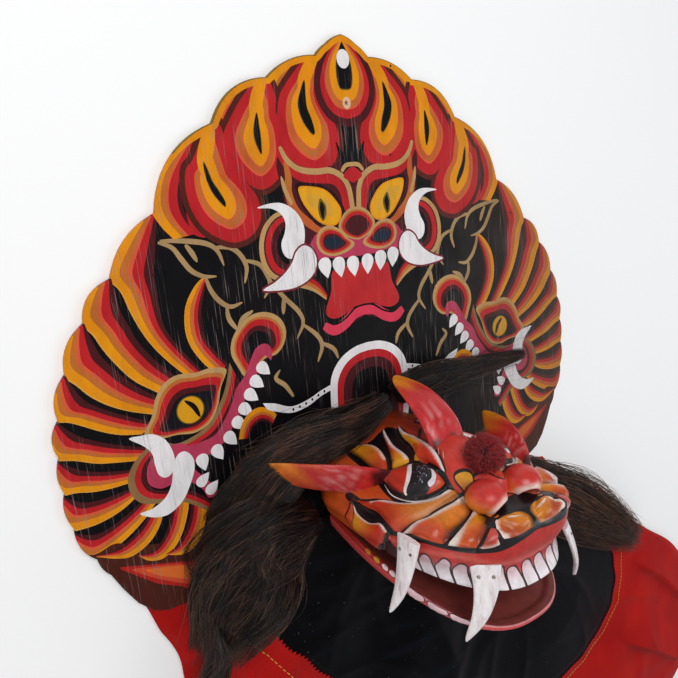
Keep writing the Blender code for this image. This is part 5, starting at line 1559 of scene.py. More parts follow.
JAW_BACK_PAINT = ink("6A1A18")
vertices, faces, colours = painted_half(lambda flat: on_jaw(flat)[0], None, JAW_SKIN, jaw_strokes,
                                        ink("B03030"), JAW_MESH_STEP, JAW_BACK_PAINT)
behind = edge_loops(faces)[0]
jaw_axis = np.array((0.0, -math.sin(JAW_OPEN_ANGLE), math.cos(JAW_OPEN_ANGLE)))
along_jaw = (vertices - (0.0, HINGE_HEIGHT, HINGE_DEPTH)) @ jaw_axis
order = [n for n in behind if along_jaw[n] < -JAW_TAIL + 0.0001]
hub = len(vertices)
rear = vertices[order]
vertices = np.vstack([vertices, [(0.0, rear[:, 1].mean(), rear[:, 2].mean())]])
loop_pairs = [(a, b) for a, b in zip(behind, np.roll(behind, -1)) if a in set(order) and b in set(order)]
cap = np.array([(b, a, hub) for a, b in loop_pairs])
faces = np.vstack([faces, cap])
colours = np.vstack([colours, np.tile(JAW_BACK_PAINT, (len(cap), 3, 1))])
jaw = mirror_and_close("jaw_carving", vertices, faces, colours)
bpy.ops.object.shade_smooth_by_angle(angle=math.radians(48))
jaw.data.materials.append(carved_enamel("jaw_enamel", 0.42, (110.0, 90.0, 60.0)))
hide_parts("jaw")
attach(jaw, "jaw")
print("jaw:", len(jaw.data.polygons), "triangles")

# %% [markdown]
# ## Horn, ears and fangs
# These are separate carvings set on the head: one leaf-shaped horn, two hollowed ears and four
# fangs. Each begins as a flat ring. The ring is extruded step by step, and every new ring is laid on
# the piece's spine, narrower and turned, until the last one closes in a point.

# %% Extruded blades
ON_BOARD = Vector((0, 0, BOARD_THICKNESS))


def spine_frame(points, share, side_hint):
    """Place on a spine, and the directions across it and out of its face."""
    keys = np.linspace(0.0, 1.0, len(points))
    points = np.array(points)
    near = [np.array([float(through_keys(keys, points[:, axis], value)) for axis in range(3)])
            for value in (max(share - 0.01, 0.0), share, min(share + 0.01, 1.0))]
    along = Vector(near[2] - near[0]).normalized()
    side = Vector(side_hint)
    side = (side - along * side.dot(along)).normalized()
    return Vector(near[1]), side, along.cross(side)


def blade_ring(spine, side_hint, width, thickness, shape, share, sides, hollow):
    """One ring of a blade; shape holds the foot's width, its growth, the bluntness and the tip."""
    foot, growth, bluntness, tip = shape
    place, side, face = spine_frame(spine, share, side_hint)
    wide = (foot + growth * share) * (1 - share) ** bluntness
    thick = 1 - (1 - tip) * share
    ring = []
    for k in range(sides):
        angle = 2 * math.pi * k / sides
        lift = math.sin(angle) * thickness / 2 * thick
        if math.sin(angle) > 0:
            lift -= hollow * thick * (1 - math.cos(angle) ** 2)
        ring.append(place + side * (math.cos(angle) * width / 2 * wide) + face * lift + ON_BOARD)
    return ring


def extruded_blade(name, spine, side_hint, width, thickness, shape, hollow=0.0, sides=28, steps=26):
    """A ring extruded along a spine and merged to a point at its tip."""
    bpy.ops.object.select_all(action="DESELECT")
    bpy.ops.mesh.primitive_circle_add(vertices=sides, radius=0.01, fill_type="NGON")
    made = bpy.context.object
    made.name = name
    shares = [1 - (1 - step / steps) ** 1.35 for step in range(steps)]
    fresh = made.data.vertices
    for share in shares:
        if share > 0.0:
            bpy.ops.object.mode_set(mode="EDIT")
            bpy.ops.mesh.extrude_region_move()
            bpy.ops.object.mode_set(mode="OBJECT")
            fresh = [vertex for vertex in made.data.vertices if vertex.select]
        ring = blade_ring(spine, side_hint, width, thickness, shape, share, sides, hollow)
        for vertex, spot in zip(fresh, ring):
            vertex.co = spot
    bpy.ops.object.mode_set(mode="EDIT")
    bpy.ops.mesh.extrude_region_move()
    bpy.ops.mesh.merge(type="CENTER")
    bpy.ops.mesh.select_all(action="SELECT")
    bpy.ops.mesh.normals_make_consistent(inside=False)
    bpy.ops.object.mode_set(mode="OBJECT")
    made.data.vertices[-1].co = Vector(spine[-1]) + ON_BOARD
    made.location = (0, 0, 0)
    bpy.ops.object.shade_smooth_by_angle(angle=math.radians(50))
    return made


HORN_SPINE = ((0.0, -0.092, 0.126), (0.0, -0.066, 0.113), (0.0, -0.044, 0.083), (0.0, -0.031, 0.045))
EAR_LEFT_SPINE = ((-0.062, -0.117, 0.092), (-0.095, -0.106, 0.082), (-0.132, -0.098, 0.058),
                  (-0.166, -0.090, 0.020))
EAR_RIGHT_SPINE = ((0.058, -0.128, 0.158), (0.076, -0.120, 0.135), (0.097, -0.108, 0.100),
                   (0.118, -0.100, 0.056))
FRONT_FANG_SPINE = ((0.0515, -0.152, 0.2185), (0.0565, -0.172, 0.2230), (0.0640, -0.195, 0.2220),
                    (0.0735, -0.220, 0.2130))
REAR_FANG_SPINE = ((0.0920, -0.134, 0.1680), (0.0960, -0.158, 0.1660), (0.1000, -0.185, 0.1600),
                   (0.1045, -0.2125, 0.1480))
HORN_SHAPE, EAR_SHAPE, FANG_SHAPE = (0.80, 0.75, 0.55, 0.20), (0.72, 1.15, 0.75, 0.30), (1.00, 0.00, 0.62,
                                                                                         0.45)


def tip_paint(spine, root_paint, tip_paint, pale, start=0.45, end=0.95):
    """Colours that run from the root's paint to the tip's, with pale brush marks low down."""
    foot, point = np.array(spine[0]), np.array(spine[-1])
    run = point - foot

    def at(places):
        share = ((places - (0, 0, BOARD_THICKNESS) - foot) @ run) / (run @ run)
        ripple = 0.06 * np.sin(places[:, 0] * 310 + places[:, 1] * 270)
        warm = smoothstep(start, end, share + ripple)[:, None]
        colour = root_paint * (1 - warm) + tip_paint * warm
        streak = np.clip(np.sin(places[:, 0] * 1900 + 3 * np.sin(places[:, 1] * 700 + places[:, 2] * 500))
                         - 0.3,
                         0, 1)
        low = (streak * smoothstep(0.10, 0.25, share) * (1 - smoothstep(0.35, 0.55, share)) * 0.55)[:, None]
        colour = colour * (1 - low) + pale * low
        root = (1 - smoothstep(0.055, 0.10, share + 0.4 * ripple))[:, None]
        return colour * (1 - 0.9 * root) + GROOVE_BLACK * 0.9 * root

    return at


horn_enamel = carved_enamel("horn_enamel", 0.36, (150.0, 60.0, 60.0))
for name, spine, side, width, thickness, shape, hollow, start in (
        ("horn", HORN_SPINE, (1.0, 0.0, 0.0), 0.052, 0.018, HORN_SHAPE, 0.0, 0.62),
        ("ear_left", EAR_LEFT_SPINE, (0.0, 0.75, 0.65), 0.062, 0.012, EAR_SHAPE, 0.004, 0.42),
        ("ear_right", EAR_RIGHT_SPINE, (0.68, 0.69, 0.25), 0.050, 0.012, EAR_SHAPE, 0.004, 0.50)):
    blade = extruded_blade(name + "_carving", spine, side, width, thickness, shape, hollow)
    painted_by(blade, tip_paint(spine, ink("C4262A"), ink("E28A20"), ink("F6BDB6"), start))
    blade.data.materials.append(horn_enamel)
    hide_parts(name)
    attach(blade, "mask")
print("horn and ears carved")

# %% Fangs and their nails
fang_enamel, tree, shader = finish_of("fang_enamel", 0.38)
streaks = noise(tree, (260.0, 45.0, 200.0), 6.0, 0.65)
colour = ramp(tree, streaks, (0.30, (0.52, 0.38, 0.38)), (0.44, (0.80, 0.72, 0.73)),
              (0.62, (0.90, 0.87, 0.88)))
stain = ramp(tree, noise(tree, 70.0, 4.0), (0.56, 0.0), (0.72, 0.55))
colour = mix_colour(tree, stain, colour, (0.62, 0.40, 0.40))
tree.links.new(colour, shader.inputs["Base Color"])
bump(tree, streaks, 0.35, 0.0008, shader)
nail_steel, tree, shader = finish_of("nail_steel", 0.34)
shader.inputs["Metallic"].default_value = 0.9
rust = ramp(tree, noise(tree, 700.0, 3.0), (0.4, (0.42, 0.40, 0.39)), (0.62, (0.20, 0.11, 0.07)))
tree.links.new(rust, shader.inputs["Base Color"])
FANG_WIDTH, FANG_THICKNESS = 0.027, 0.0075
NAIL_RADIUS, NAIL_APART, NAIL_SHARE, NAIL_STANDS = 0.0016, 0.0062, 0.16, 0.0030
nails = []
for place, spine, side in (("front", FRONT_FANG_SPINE, (0.72, 0.0, -0.69)),
                           ("rear", REAR_FANG_SPINE, (0.12, 0.0, -0.99))):
    for hand, sign in (("left", -1), ("right", 1)):
        points = [(sign * x, y, z) for x, y, z in spine]
        hint = (sign * side[0], side[1], side[2])
        fang = extruded_blade("fang_%s_%s_carving" % (place, hand), points, hint, FANG_WIDTH,
                              FANG_THICKNESS, FANG_SHAPE, sides=24, steps=20)
        fang.data.materials.append(fang_enamel)
        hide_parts("fang_%s_%s" % (place, hand))
        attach(fang, "mask")
        for number, offset in enumerate((-NAIL_APART, NAIL_APART)):
            spot, wide_way, face = spine_frame(points, NAIL_SHARE, hint)
            outward = face if (face.z * 0.9 + face.x * sign) > 0 else -face
            spot = spot + wide_way * offset + outward * NAIL_STANDS + ON_BOARD
            bpy.ops.object.select_all(action="DESELECT")
            bpy.ops.mesh.primitive_uv_sphere_add(segments=16, ring_count=8, radius=NAIL_RADIUS,
                                                 location=spot)
            nail = bpy.context.object
            nail.name = "nail_%s_%s_%d" % (place, hand, number + 1)
            nail.rotation_euler = outward.to_track_quat("Z", "Y").to_euler()
            nail.scale = (1.0, 1.0, 0.45)
            bpy.ops.object.transform_apply(location=True, rotation=True, scale=True)
            bpy.ops.object.shade_smooth()
            nail.data.materials.append(nail_steel)
            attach(nail, "mask")
            nails.append(nail)
print("fangs: 4, nails:", len(nails))

# %% [markdown]
# ## Pom-pom
# The pom-pom is a ball of cut wool: hundreds of short yarn ends that stand out from a knot. One
# short tuft is a thin tapered prism. Its copies are spread evenly over a sphere by the golden angle,
# so no seam or pole shows, and each leans a little differently.

# %% Pom-pom
POM_POM_PLACE = np.array((0.0, -0.082, 0.1725 + BOARD_THICKNESS))
POM_POM_RADIUS, POM_POM_LOWEST = 0.0185, 0.13
chance = np.random.default_rng(7)


def ring_faces(a, b):
    """Faces with four corners between rings of points, given as the points' numbers."""
    return np.stack([a, np.roll(a, -1, -1), np.roll(b, -1, -1), b], axis=-1).reshape(-1, 4)


def tubes(paths, radii, sides=3):
    """Many thin tubes in one mesh: paths is (count, points, 3), radii is (count, points)."""
    count, points = paths.shape[:2]
    along = np.gradient(paths, axis=1)
    along /= np.maximum(np.linalg.norm(along, axis=2, keepdims=True), 1e-9)
    hint = np.where(np.abs(along[..., 2:3]) < 0.9, (0.0, 0.0, 1.0), (1.0, 0.0, 0.0))
    side = np.cross(along, hint)
    side /= np.maximum(np.linalg.norm(side, axis=2, keepdims=True), 1e-9)
    face = np.cross(along, side)
    corners = []
    for k in range(sides):
        angle = 2 * np.pi * k / sides
        corners.append(paths + (side * math.cos(angle) + face * math.sin(angle)) * radii[..., None])
    number = np.arange(count * points * sides).reshape(count, points, sides)
    caps = np.vstack([number[:, 0][:, ::-1], number[:, -1]])
    faces = ring_faces(number[:, :-1], number[:, 1:]).tolist() + caps.tolist()
    return np.stack(corners, axis=2).reshape(-1, 3), faces


def strands_object(name, paths, radii, shade, sides=3):
    """Tubes with one shade value per strand in a colour attribute called tone."""
    vertices, faces = tubes(paths, radii, sides)
    mesh = bpy.data.meshes.new(name)
    mesh.from_pydata(vertices.tolist(), [], faces)
    mesh.update()
    made = bpy.data.objects.new(name, mesh)
    bpy.context.scene.collection.objects.link(made)
    colour_layer(mesh, "tone", "POINT", shade.repeat(sides, axis=1).reshape(-1, 1))
    mesh.shade_smooth()
    return made


TUFTS = 3200
turn = np.arange(TUFTS) * math.pi * (3 - math.sqrt(5))
high = 1 - 2 * (np.arange(TUFTS) + 0.5) / TUFTS
out = np.stack([np.sqrt(1 - high ** 2) * np.cos(turn), np.sqrt(1 - high ** 2) * np.sin(turn), high], axis=1)
lean = chance.normal(0.0, 0.20, (TUFTS, 3))
reach = POM_POM_RADIUS * chance.uniform(0.88, 1.12, TUFTS)[:, None]
steps = np.linspace(0.30, 1.0, 4)
paths = []
for s in steps:
    away = out + lean * s ** 2
    paths.append(POM_POM_PLACE + away / np.linalg.norm(away, axis=1, keepdims=True) * reach * s)
paths = np.stack(paths, axis=1)
paths[..., 2] = np.maximum(paths[..., 2], POM_POM_LOWEST)
radii = np.tile((0.00025, 0.00040, 0.00045, 0.00022), (TUFTS, 1))
# Each tuft has a random tone and turns darker towards the knot: painted shade for the inside of the ball.
shade = np.clip(chance.normal(0.5, 0.2, (TUFTS, 1)) + (steps[None] - 0.8) * 0.9, 0, 1)
pom_pom = strands_object("pom_pom_yarn", paths, radii, shade)
yarn, tree, shader = finish_of("red_yarn", 0.9, 0.2)
tone = add_node(tree, "ShaderNodeAttribute", attribute_name="tone").outputs["Fac"]
colour = ramp(tree, tone, (0.05, "4A060A"), (0.5, "9C1018"), (0.95, "C8242C"))
twist = wave(tree, 1600.0, 0.0, 3.0)
colour = mix_colour(tree, 0.35, colour, ramp(tree, twist, (0.2, 0.45), (0.8, 1.0)), "MULTIPLY")
tree.links.new(colour, shader.inputs["Base Color"])
shader.inputs["Sheen Weight"].default_value = 0.25
bump(tree, twist, 0.5, 0.0004, shader)
pom_pom.data.materials.append(yarn)
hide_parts("pom_pom")
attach(pom_pom, "mask")
print("pom-pom tufts:", TUFTS)

# %% [markdown]
# ## Hair
# Two hanks of long dark hair lie parted behind the horn, and two fuller bundles hang below the ears.
# Solid lumps with a hair picture on them look like leather, so every bundle is thousands of fine
# strands. They start close together, gather into locks that wander, and thin out at their ends.
# A dark core inside each bundle keeps the ground from showing through.

# %% Strands
LEVEL_SIDE = (0.35, 1.0, 0.0)
STRAND_POINTS = 13
CORE_SHARE = 0.62


def bundle_frames(spine, half_widths, half_heights, shares):
    """Place, directions and half sizes of a bundle at many shares of its length."""
    places, sides, faces, wide, high = [], [], [], [], []
    keys = np.linspace(0.0, 1.0, len(half_widths))
    for share in shares:
        place, side, face = spine_frame(spine, min(share, 1.0), LEVEL_SIDE)
        if face.z < 0:
            side, face = -side, -face
        places.append(place)
        sides.append(side)
        faces.append(face)
        wide.append(float(through_keys(keys, half_widths, min(share, 1.0))))
        high.append(float(through_keys(keys, half_heights, min(share, 1.0))))
    return (np.array(places) + (0, 0, BOARD_THICKNESS), np.array(sides), np.array(faces), np.array(wide),
            np.array(high))


def hair_bundle(spine, half_widths, half_heights, count, locks, lowest, radius, frizz, seed, spread):
    """Strands laid in locks along a spine; returns paths, radii and shades."""
    dice = np.random.default_rng(seed)
    shares = np.linspace(0.0, 1.0, STRAND_POINTS)
    places, sides, faces, wide, high = bundle_frames(spine, half_widths, half_heights, shares)
    lock_of = dice.integers(0, locks, count)
    lock_angle = dice.uniform(0, 2 * np.pi, locks)
    lock_out = np.sqrt(dice.uniform(0.05, 1.0, locks)) * 0.86
    drift = dice.normal(0.0, 0.22, (locks, 3))
    angle = dice.uniform(0, 2 * np.pi, count)
    out = np.sqrt(dice.uniform(0, 1, count)) * 0.30
    across_root = np.cos(lock_angle[lock_of]) * lock_out[lock_of] + np.cos(angle) * out
    lift_root = np.sin(lock_angle[lock_of]) * lock_out[lock_of] + np.sin(angle) * out
    begin = np.clip(dice.beta(0.7, 5.0, count) * 0.35, 0, 0.5)
    finish = np.clip(1.03 - dice.beta(1.0, 4.5, count) * 0.75, 0.25, 1.03)
    t = np.linspace(0.0, 1.0, STRAND_POINTS)
    along = begin[:, None] + (finish - begin)[:, None] * t
    index = np.clip(along, 0.0, 1.0) * (STRAND_POINTS - 1)
    low = np.minimum(index.astype(int), STRAND_POINTS - 2)
    part = (index - low)[..., None]

    def between(field):
        field = field if field.ndim == 2 else field[:, None]
        return field[low] * (1 - part) + field[low + 1] * part

    wander = drift[lock_of]
    across = across_root[:, None] + wander[:, 0:1] * np.sin(along * 5.0
                                                            + lock_angle[lock_of][:, None]) * 0.9
    lift = lift_root[:, None] + wander[:, 1:2] * np.sin(along * 4.1 + 2 * lock_angle[lock_of][:, None])
    curl = dice.normal(0.0, 1.0, (count, 3))
    phase = dice.uniform(0, 2 * np.pi, (count, 2))
    across = across * spread + frizz * curl[:, 0:1] * np.sin(along * (7 + 2 * curl[:, 2:3])
                                                             + phase[:, 0:1]) * along
    lift = lift * spread + 0.8 * frizz * curl[:, 1:2] * np.sin(along * 8 + phase[:, 1:2]) * along
    over = np.maximum(np.hypot(across, lift) / 1.12, 1.0)
    across, lift = across / over, lift / over
    paths = between(places) + between(sides) * (across * between(wide)[..., 0])[..., None]
    paths = paths + between(faces) * (lift * between(high)[..., 0])[..., None]
    over_end = np.maximum(along - 1.0, 0.0)[..., None]
    paths = paths + (places[-1] - places[-2]) * over_end * STRAND_POINTS * 0.6
    paths[..., 2] = np.maximum(paths[..., 2], lowest + radius + dice.uniform(0, 0.0012, (count, 1)))
    radii = radius * dice.uniform(0.65, 1.25, (count, 1)) * (1.0 - 0.65 * t[None] ** 3)
    tone = dice.normal(0.42, 0.22, (count, 1)) + dice.normal(0, 0.10, locks)[lock_of][:, None]
    return paths, radii, np.clip(tone + 0.25 * (t[None] - 0.4), 0, 1)


def fly_away(paths, radii, tone, count, reach, seed, lowest):
    """Stray hairs that leave the bundle and wander off."""
    dice = np.random.default_rng(seed)
    chosen = dice.choice(len(paths), count, replace=False)
    stray = paths[chosen].copy()
    t = np.linspace(0.0, 1.0, stray.shape[1])
    bend = dice.normal(0.0, 1.0, (count, 1, 3)) * (1.0, 1.0, 0.35) * reach
    curl = dice.normal(0.0, 1.0, (count, 1, 3)) * (1.0, 1.0, 0.3) * reach * 0.35
    stray = stray + bend * (t ** 2)[None, :, None] + curl * np.sin(t * 5.0)[None, :, None]
    stray[..., 2] = np.maximum(stray[..., 2], lowest + 0.0004)
    return (np.concatenate([paths, stray]), np.concatenate([radii, radii[chosen] * 0.8]),
            np.concatenate([tone, tone[chosen] + 0.15]))


def hair_finish(name, dark, middle, light):
    """Hair that runs from dark to light by each strand's own tone."""
    made, tree, shader = finish_of(name, 0.42, 0.5)
    tone = add_node(tree, "ShaderNodeAttribute", attribute_name="tone").outputs["Fac"]
    streak = noise(tree, 55.0, 4.0)
    mixed = add_node(tree, "ShaderNodeMath", {0: tone, 1: streak}, operation="ADD")
    halved = add_node(tree, "ShaderNodeMath", {0: mixed.outputs[0], 1: 0.5}, operation="MULTIPLY")
    colour = ramp(tree, halved.outputs[0], (0.25, dark), (0.50, middle), (0.74, light))
    tree.links.new(colour, shader.inputs["Base Color"])
    bump(tree, streak, 0.2, 0.0005, shader)
    return made


dark_hair = hair_finish("dark_hair", "080605", "1A110D", "6A4836")
brown_hair = hair_finish("brown_hair", "120907", "38200F", "8A5A3A")
FLOOR_OF_HAIR = BOARD_THICKNESS + 0.0006
CROWN_LEFT = ((-0.012, -0.060, 0.036), (-0.062, -0.067, 0.050), (-0.120, -0.076, 0.040),
              (-0.178, -0.096, 0.024))
CROWN_RIGHT = ((0.014, -0.056, 0.026), (0.070, -0.056, 0.024), (0.140, -0.060, 0.018),
               (0.240, -0.064, 0.012))
SIDE_LEFT = ((-0.108, -0.158, 0.032), (-0.158, -0.172, 0.034), (-0.196, -0.212, 0.032),
             (-0.232, -0.270, 0.024))
SIDE_RIGHT = ((0.112, -0.160, 0.036), (0.210, -0.225, 0.034), (0.345, -0.320, 0.030),
              (0.490, -0.430, 0.020))
LOOSE_LEFT = ((-0.118, -0.150, 0.034), (-0.172, -0.160, 0.040), (-0.208, -0.205, 0.034),
              (-0.232, -0.275, 0.022), (-0.246, -0.350, 0.014))
BRIDGE = ((-0.050, -0.064, 0.040), (-0.120, -0.084, 0.040), (-0.176, -0.124, 0.034),
          (-0.204, -0.185, 0.030), (-0.232, -0.255, 0.024))
# Each row: spine, half widths, half heights, strands, locks, lowest z, strand radius, frizz, spread,
# finish, slot, and whether a node of the same name is replaced.
HAIR = {
    "crown_hair_left": (
        CROWN_LEFT, (0.014, 0.021, 0.024, 0.016), (0.012, 0.014, 0.012, 0.007), 2300, 26,
        FLOOR_OF_HAIR, 0.00030, 0.30, 1.0, dark_hair, "dark_hair", True),
    "crown_hair_right": (
        CROWN_RIGHT, (0.014, 0.019, 0.014, 0.006), (0.012, 0.013, 0.009, 0.003), 1500, 30,
        FLOOR_OF_HAIR, 0.00030, 0.40, 1.0, dark_hair, "dark_hair", True),
    "side_hair_left": (
        SIDE_LEFT, (0.014, 0.046, 0.052, 0.024), (0.014, 0.020, 0.020, 0.010), 2400, 60,
        0.0125, 0.00032, 0.45, 1.0, dark_hair, "dark_hair", True),
    "side_hair_right": (
        SIDE_RIGHT, (0.014, 0.036, 0.050, 0.024), (0.012, 0.020, 0.019, 0.009), 2400, 50,
        0.0125, 0.00034, 0.25, 0.9, brown_hair, "brown_hair", True),
    "loose_hair_left": (
        LOOSE_LEFT, (0.020, 0.050, 0.054, 0.034, 0.016), (0.010, 0.012, 0.012, 0.010, 0.006), 1300, 36,
        0.0125, 0.00027, 0.30, 1.0, dark_hair, "dark_hair", False),
    "loose_hair_crown": (
        BRIDGE, (0.012, 0.026, 0.036, 0.036, 0.028), (0.006, 0.008, 0.008, 0.006, 0.005), 1300, 40,
        FLOOR_OF_HAIR, 0.00027, 0.40, 1.0, dark_hair, "dark_hair", False),
}
CORE_SIDES, STRAY_REACH = 20, 0.010
for number, (name, settings) in enumerate(HAIR.items()):
    spine, half_widths, half_heights, count, locks, lowest, radius, frizz = settings[:8]
    spread, finish, slot, of_node = settings[8:]
    paths, radii, tone = hair_bundle(spine, half_widths, half_heights, count, locks, lowest, radius, frizz,
                                     20 + number, spread)
    paths, radii, tone = fly_away(paths, radii, tone, count // 12, STRAY_REACH, 40 + number, lowest)
    strands = strands_object(name + "_strands", paths, radii, tone)
    pieces = [strands]
    if of_node:
        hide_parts(name)
        frames = bundle_frames(spine, half_widths, half_heights, np.linspace(0.03, 0.93, 16))
        angle = np.linspace(0, 2 * np.pi, CORE_SIDES, endpoint=False)
        core = []
        for place, side, face, wide, high in zip(*frames):
            ring = place + np.outer(np.cos(angle) * wide * CORE_SHARE, side)
            ring = ring + np.outer(np.sin(angle) * high * CORE_SHARE, face)
            ring[:, 2] = np.maximum(ring[:, 2], lowest)
            core.append(ring)
        numbers = np.arange(len(core) * CORE_SIDES).reshape(-1, CORE_SIDES)
        ends = [numbers[0][::-1].tolist(), numbers[-1].tolist()]
        inner = mesh_object(name + "_core", np.vstack(core),
                            ring_faces(numbers[:-1], numbers[1:]).tolist() + ends)
        colour_layer(inner.data, "tone", "POINT", 0.12)
        close_up(inner)
        bpy.ops.object.shade_smooth()
        pieces.append(inner)
    for piece in pieces:
        piece.data.materials.append(finish)
        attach(piece, "mask")
    print(name, len(paths), "strands")

# %% [markdown]
# ## Cloth
# Under the head lies the cape that hides the dancer: a black satin panel between two red cotton
# ones. Satin folds softly and shines along the ridges, and the red cloth is duller, with an edge cut
# by pinking shears and a line of yellow stitches. The folds repeat those of the solids, and finer
# creases are laid over them, so the cloth stays on its solids.

# %% The cloth's folds
FOLD_HEIGHT, FOLD_COUNT, FOLD_SOURCE = 0.014, 9, (0.02, -0.16)
FOLD_START, FOLD_FULL, FOLD_PHASE, FOLD_TWIST = 0.08, 0.24, 1.3, 3.0
CLOTH_TOP = 0.005
RAMP_FOOT, RAMP_TOP = -0.320, -0.262
BLACK_EDGE = np.array(mm("0,-180 -110,-184 -165,-209 -192,-266 -158,-318 -124,-366 -70,-440 20,-524 "
                         "130,-592 245,-628 345,-622 408,-594 456,-553 472,-499 458,-435 398,-356 "
                         "315,-282 215,-209 110,-184"))
RED_EDGE = np.array(mm("-283,-215.5 -262,-265 -256,-320 -225,-410 -150,-520 -30,-630 110,-725 280,-800 "
                       "470,-835 640,-810 705,-720 700,-610 640,-515 550,-445 440,-362 330,-280 "
                       "290,-230"))
BLACK_MIDDLE = np.array((0.13, -0.40))
CLOTH_STEPS, RED_START, RED_SEAM, RED_END = 38, 5, 16, 34


def closed_curve(points, share):
    """Places on a smooth closed curve through points, at shares of its round."""
    count = len(points)
    wrapped = points[np.arange(-2, count + 3) % count]
    keys = np.arange(-2, count + 3) / count
    share = np.asarray(share) % 1.0
    return np.stack([through_keys(keys, wrapped[:, 0], share), through_keys(keys, wrapped[:, 1], share)],
                    axis=-1)


def open_curve(points, share):
    """Places on a smooth open curve through points, at shares of its run."""
    keys = np.linspace(0.0, 1.0, len(points))
    return np.stack([through_keys(keys, points[:, 0], share), through_keys(keys, points[:, 1], share)],
                    axis=-1)


def fold_height(flat, edge_share):
    """Height of the folds, which fan out from under the head as those of the solids do."""
    run = flat - np.array(FOLD_SOURCE)
    away = np.hypot(run[..., 0], run[..., 1])
    turn = np.arctan2(run[..., 1], run[..., 0])
    ridge = 0.5 + 0.5 * np.sin(FOLD_COUNT * turn + FOLD_PHASE + FOLD_TWIST * away)
    return FOLD_HEIGHT * ridge * edge_share * smoothstep(FOLD_START, FOLD_FULL, away)


def crease(flat, seed, scale, height, count=26):
    """Fine creases: sharp-topped ripples in scattered directions, each fading away from its middle."""
    dice = np.random.default_rng(seed)
    total = np.zeros(flat.shape[:-1])
    for _ in range(count):
        middle = dice.uniform((-0.28, -0.82), (0.68, -0.2))
        angle = math.atan2(middle[1] - FOLD_SOURCE[1], middle[0] - FOLD_SOURCE[0]) + dice.normal(0, 0.5)
        along = np.array((math.cos(angle), math.sin(angle)))
        off = flat - middle
        u = off @ along
        v = off @ np.array((-along[1], along[0])) + 0.02 * np.sin(u * 18 + dice.uniform(0, 6))
        length, width = dice.uniform(0.08, 0.20) * scale, dice.uniform(0.006, 0.016) * scale
        total += dice.uniform(0.4, 1.0) * np.exp(-(u / length) ** 2) * np.exp(-np.abs(v / width) ** 1.5)
    return height * np.tanh(total)


print("cloth helpers ready")

# %% Black satin
across_count, around_count = 90, 420
ring_share = np.linspace(0.0, 1.0, across_count)
around = np.arange(around_count) / around_count
edge = closed_curve(BLACK_EDGE, around)
flat = edge[None] + (BLACK_MIDDLE - edge)[None] * ring_share[:, None, None]
edge_lift = np.interp(ring_share, (0.0, 0.10, 0.36, 1.0), (0.0, 0.5, 1.0, 1.0))[:, None]
top = CLOTH_TOP + (BOARD_THICKNESS + GAP) * smoothstep(RAMP_FOOT, RAMP_TOP, flat[..., 1])
top = top + fold_height(flat, edge_lift)
top = top + (crease(flat, 3, 1.0, 0.0060) + crease(flat, 4, 1.6, 0.0060, 9)) * edge_lift
lowest = np.where(flat[..., 1] > -0.30, BOARD_THICKNESS + 0.0010, 0.0010)
top = np.maximum(top, lowest)
vertices = np.concatenate([flat, top[..., None]], axis=2)
middle_vertex = vertices[-1].mean(axis=0)
number = np.arange((across_count - 1) * around_count).reshape(across_count - 1, around_count)
quads = ring_faces(number[:-1], number[1:]).tolist()
last, hub = number[-1].tolist(), number.size
quads += [(last[k], last[(k + 1) % around_count], hub) for k in range(around_count)]
cloth_black = mesh_object("cloth_black_satin", np.vstack([vertices[:-1].reshape(-1, 3), middle_vertex]),
                          quads)


def cloth_sheet(piece, thickness=0.0007):
    """Turns a surface face up, thickens it a little and smooths it."""
    close_up(piece)
    normals = np.array([polygon.normal[2] for polygon in piece.data.polygons])
    if normals.mean() < 0:
        bpy.ops.object.mode_set(mode="EDIT")
        bpy.ops.mesh.flip_normals()
        bpy.ops.object.mode_set(mode="OBJECT")
    solid = piece.modifiers.new("thickness", "SOLIDIFY")
    solid.thickness = thickness
    solid.offset = -1.0
    bpy.ops.object.modifier_apply(modifier="thickness")
    bpy.ops.object.shade_smooth_by_angle(angle=math.radians(60))


cloth_sheet(cloth_black)
satin, tree, shader = finish_of("black_satin", 0.34, 0.07)
weave, slub = wave(tree, 2600.0, 0.6, 0.4), noise(tree, (9.0, 60.0, 20.0), 4.0, turn=0.5)
lint = ramp(tree, noise(tree, 420.0, 1.0), (0.775, 0.0), (0.80, 0.6))
colour = ramp(tree, slub, (0.30, "030304"), (0.55, "060609"), (0.78, "0E1016"))
colour = mix_colour(tree, lint, colour, (0.25, 0.24, 0.24))
tree.links.new(colour, shader.inputs["Base Color"])
tree.links.new(ramp(tree, slub, (0.3, 0.30), (0.7, 0.46)), shader.inputs["Roughness"])
shader.inputs["Sheen Weight"].default_value = 0.03
shader.inputs["Sheen Roughness"].default_value = 0.4
shader.inputs["Sheen Tint"].default_value = (0.55, 0.62, 0.85, 1.0)
fine = bump(tree, weave, 0.15, 0.0002, shader)
bump(tree, slub, 0.20, 0.0010, shader, fine)
cloth_black.data.materials.append(satin)
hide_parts("cloth_black")
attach(cloth_black, "mask")
print("black satin:", len(cloth_black.data.polygons))

# %% [markdown]
# ### Red panels
# The red cloth runs round the black panel and overlaps it by about a centimetre. Its edge is pinked:
# a zigzag of small points that keeps the cotton from fraying. The rows of the mesh follow the edge,
# so the zigzag is made by moving every second point of the first row.

# %% Red cotton
PINK_STEP, PINK_DEPTH, OVERLAP, SEAM_OVERLAP = 0.0062, 0.0038, 0.010, 0.25
# Pleats: where each starts, where it ends and how high it stands.
PLEATS = (((0.452, -0.604), (0.643, -0.741), 0.026), ((0.500, -0.478), (0.640, -0.604), 0.018),
          ((0.330, -0.640), (0.430, -0.790), 0.010), ((-0.205, -0.400), (-0.120, -0.330), 0.008))


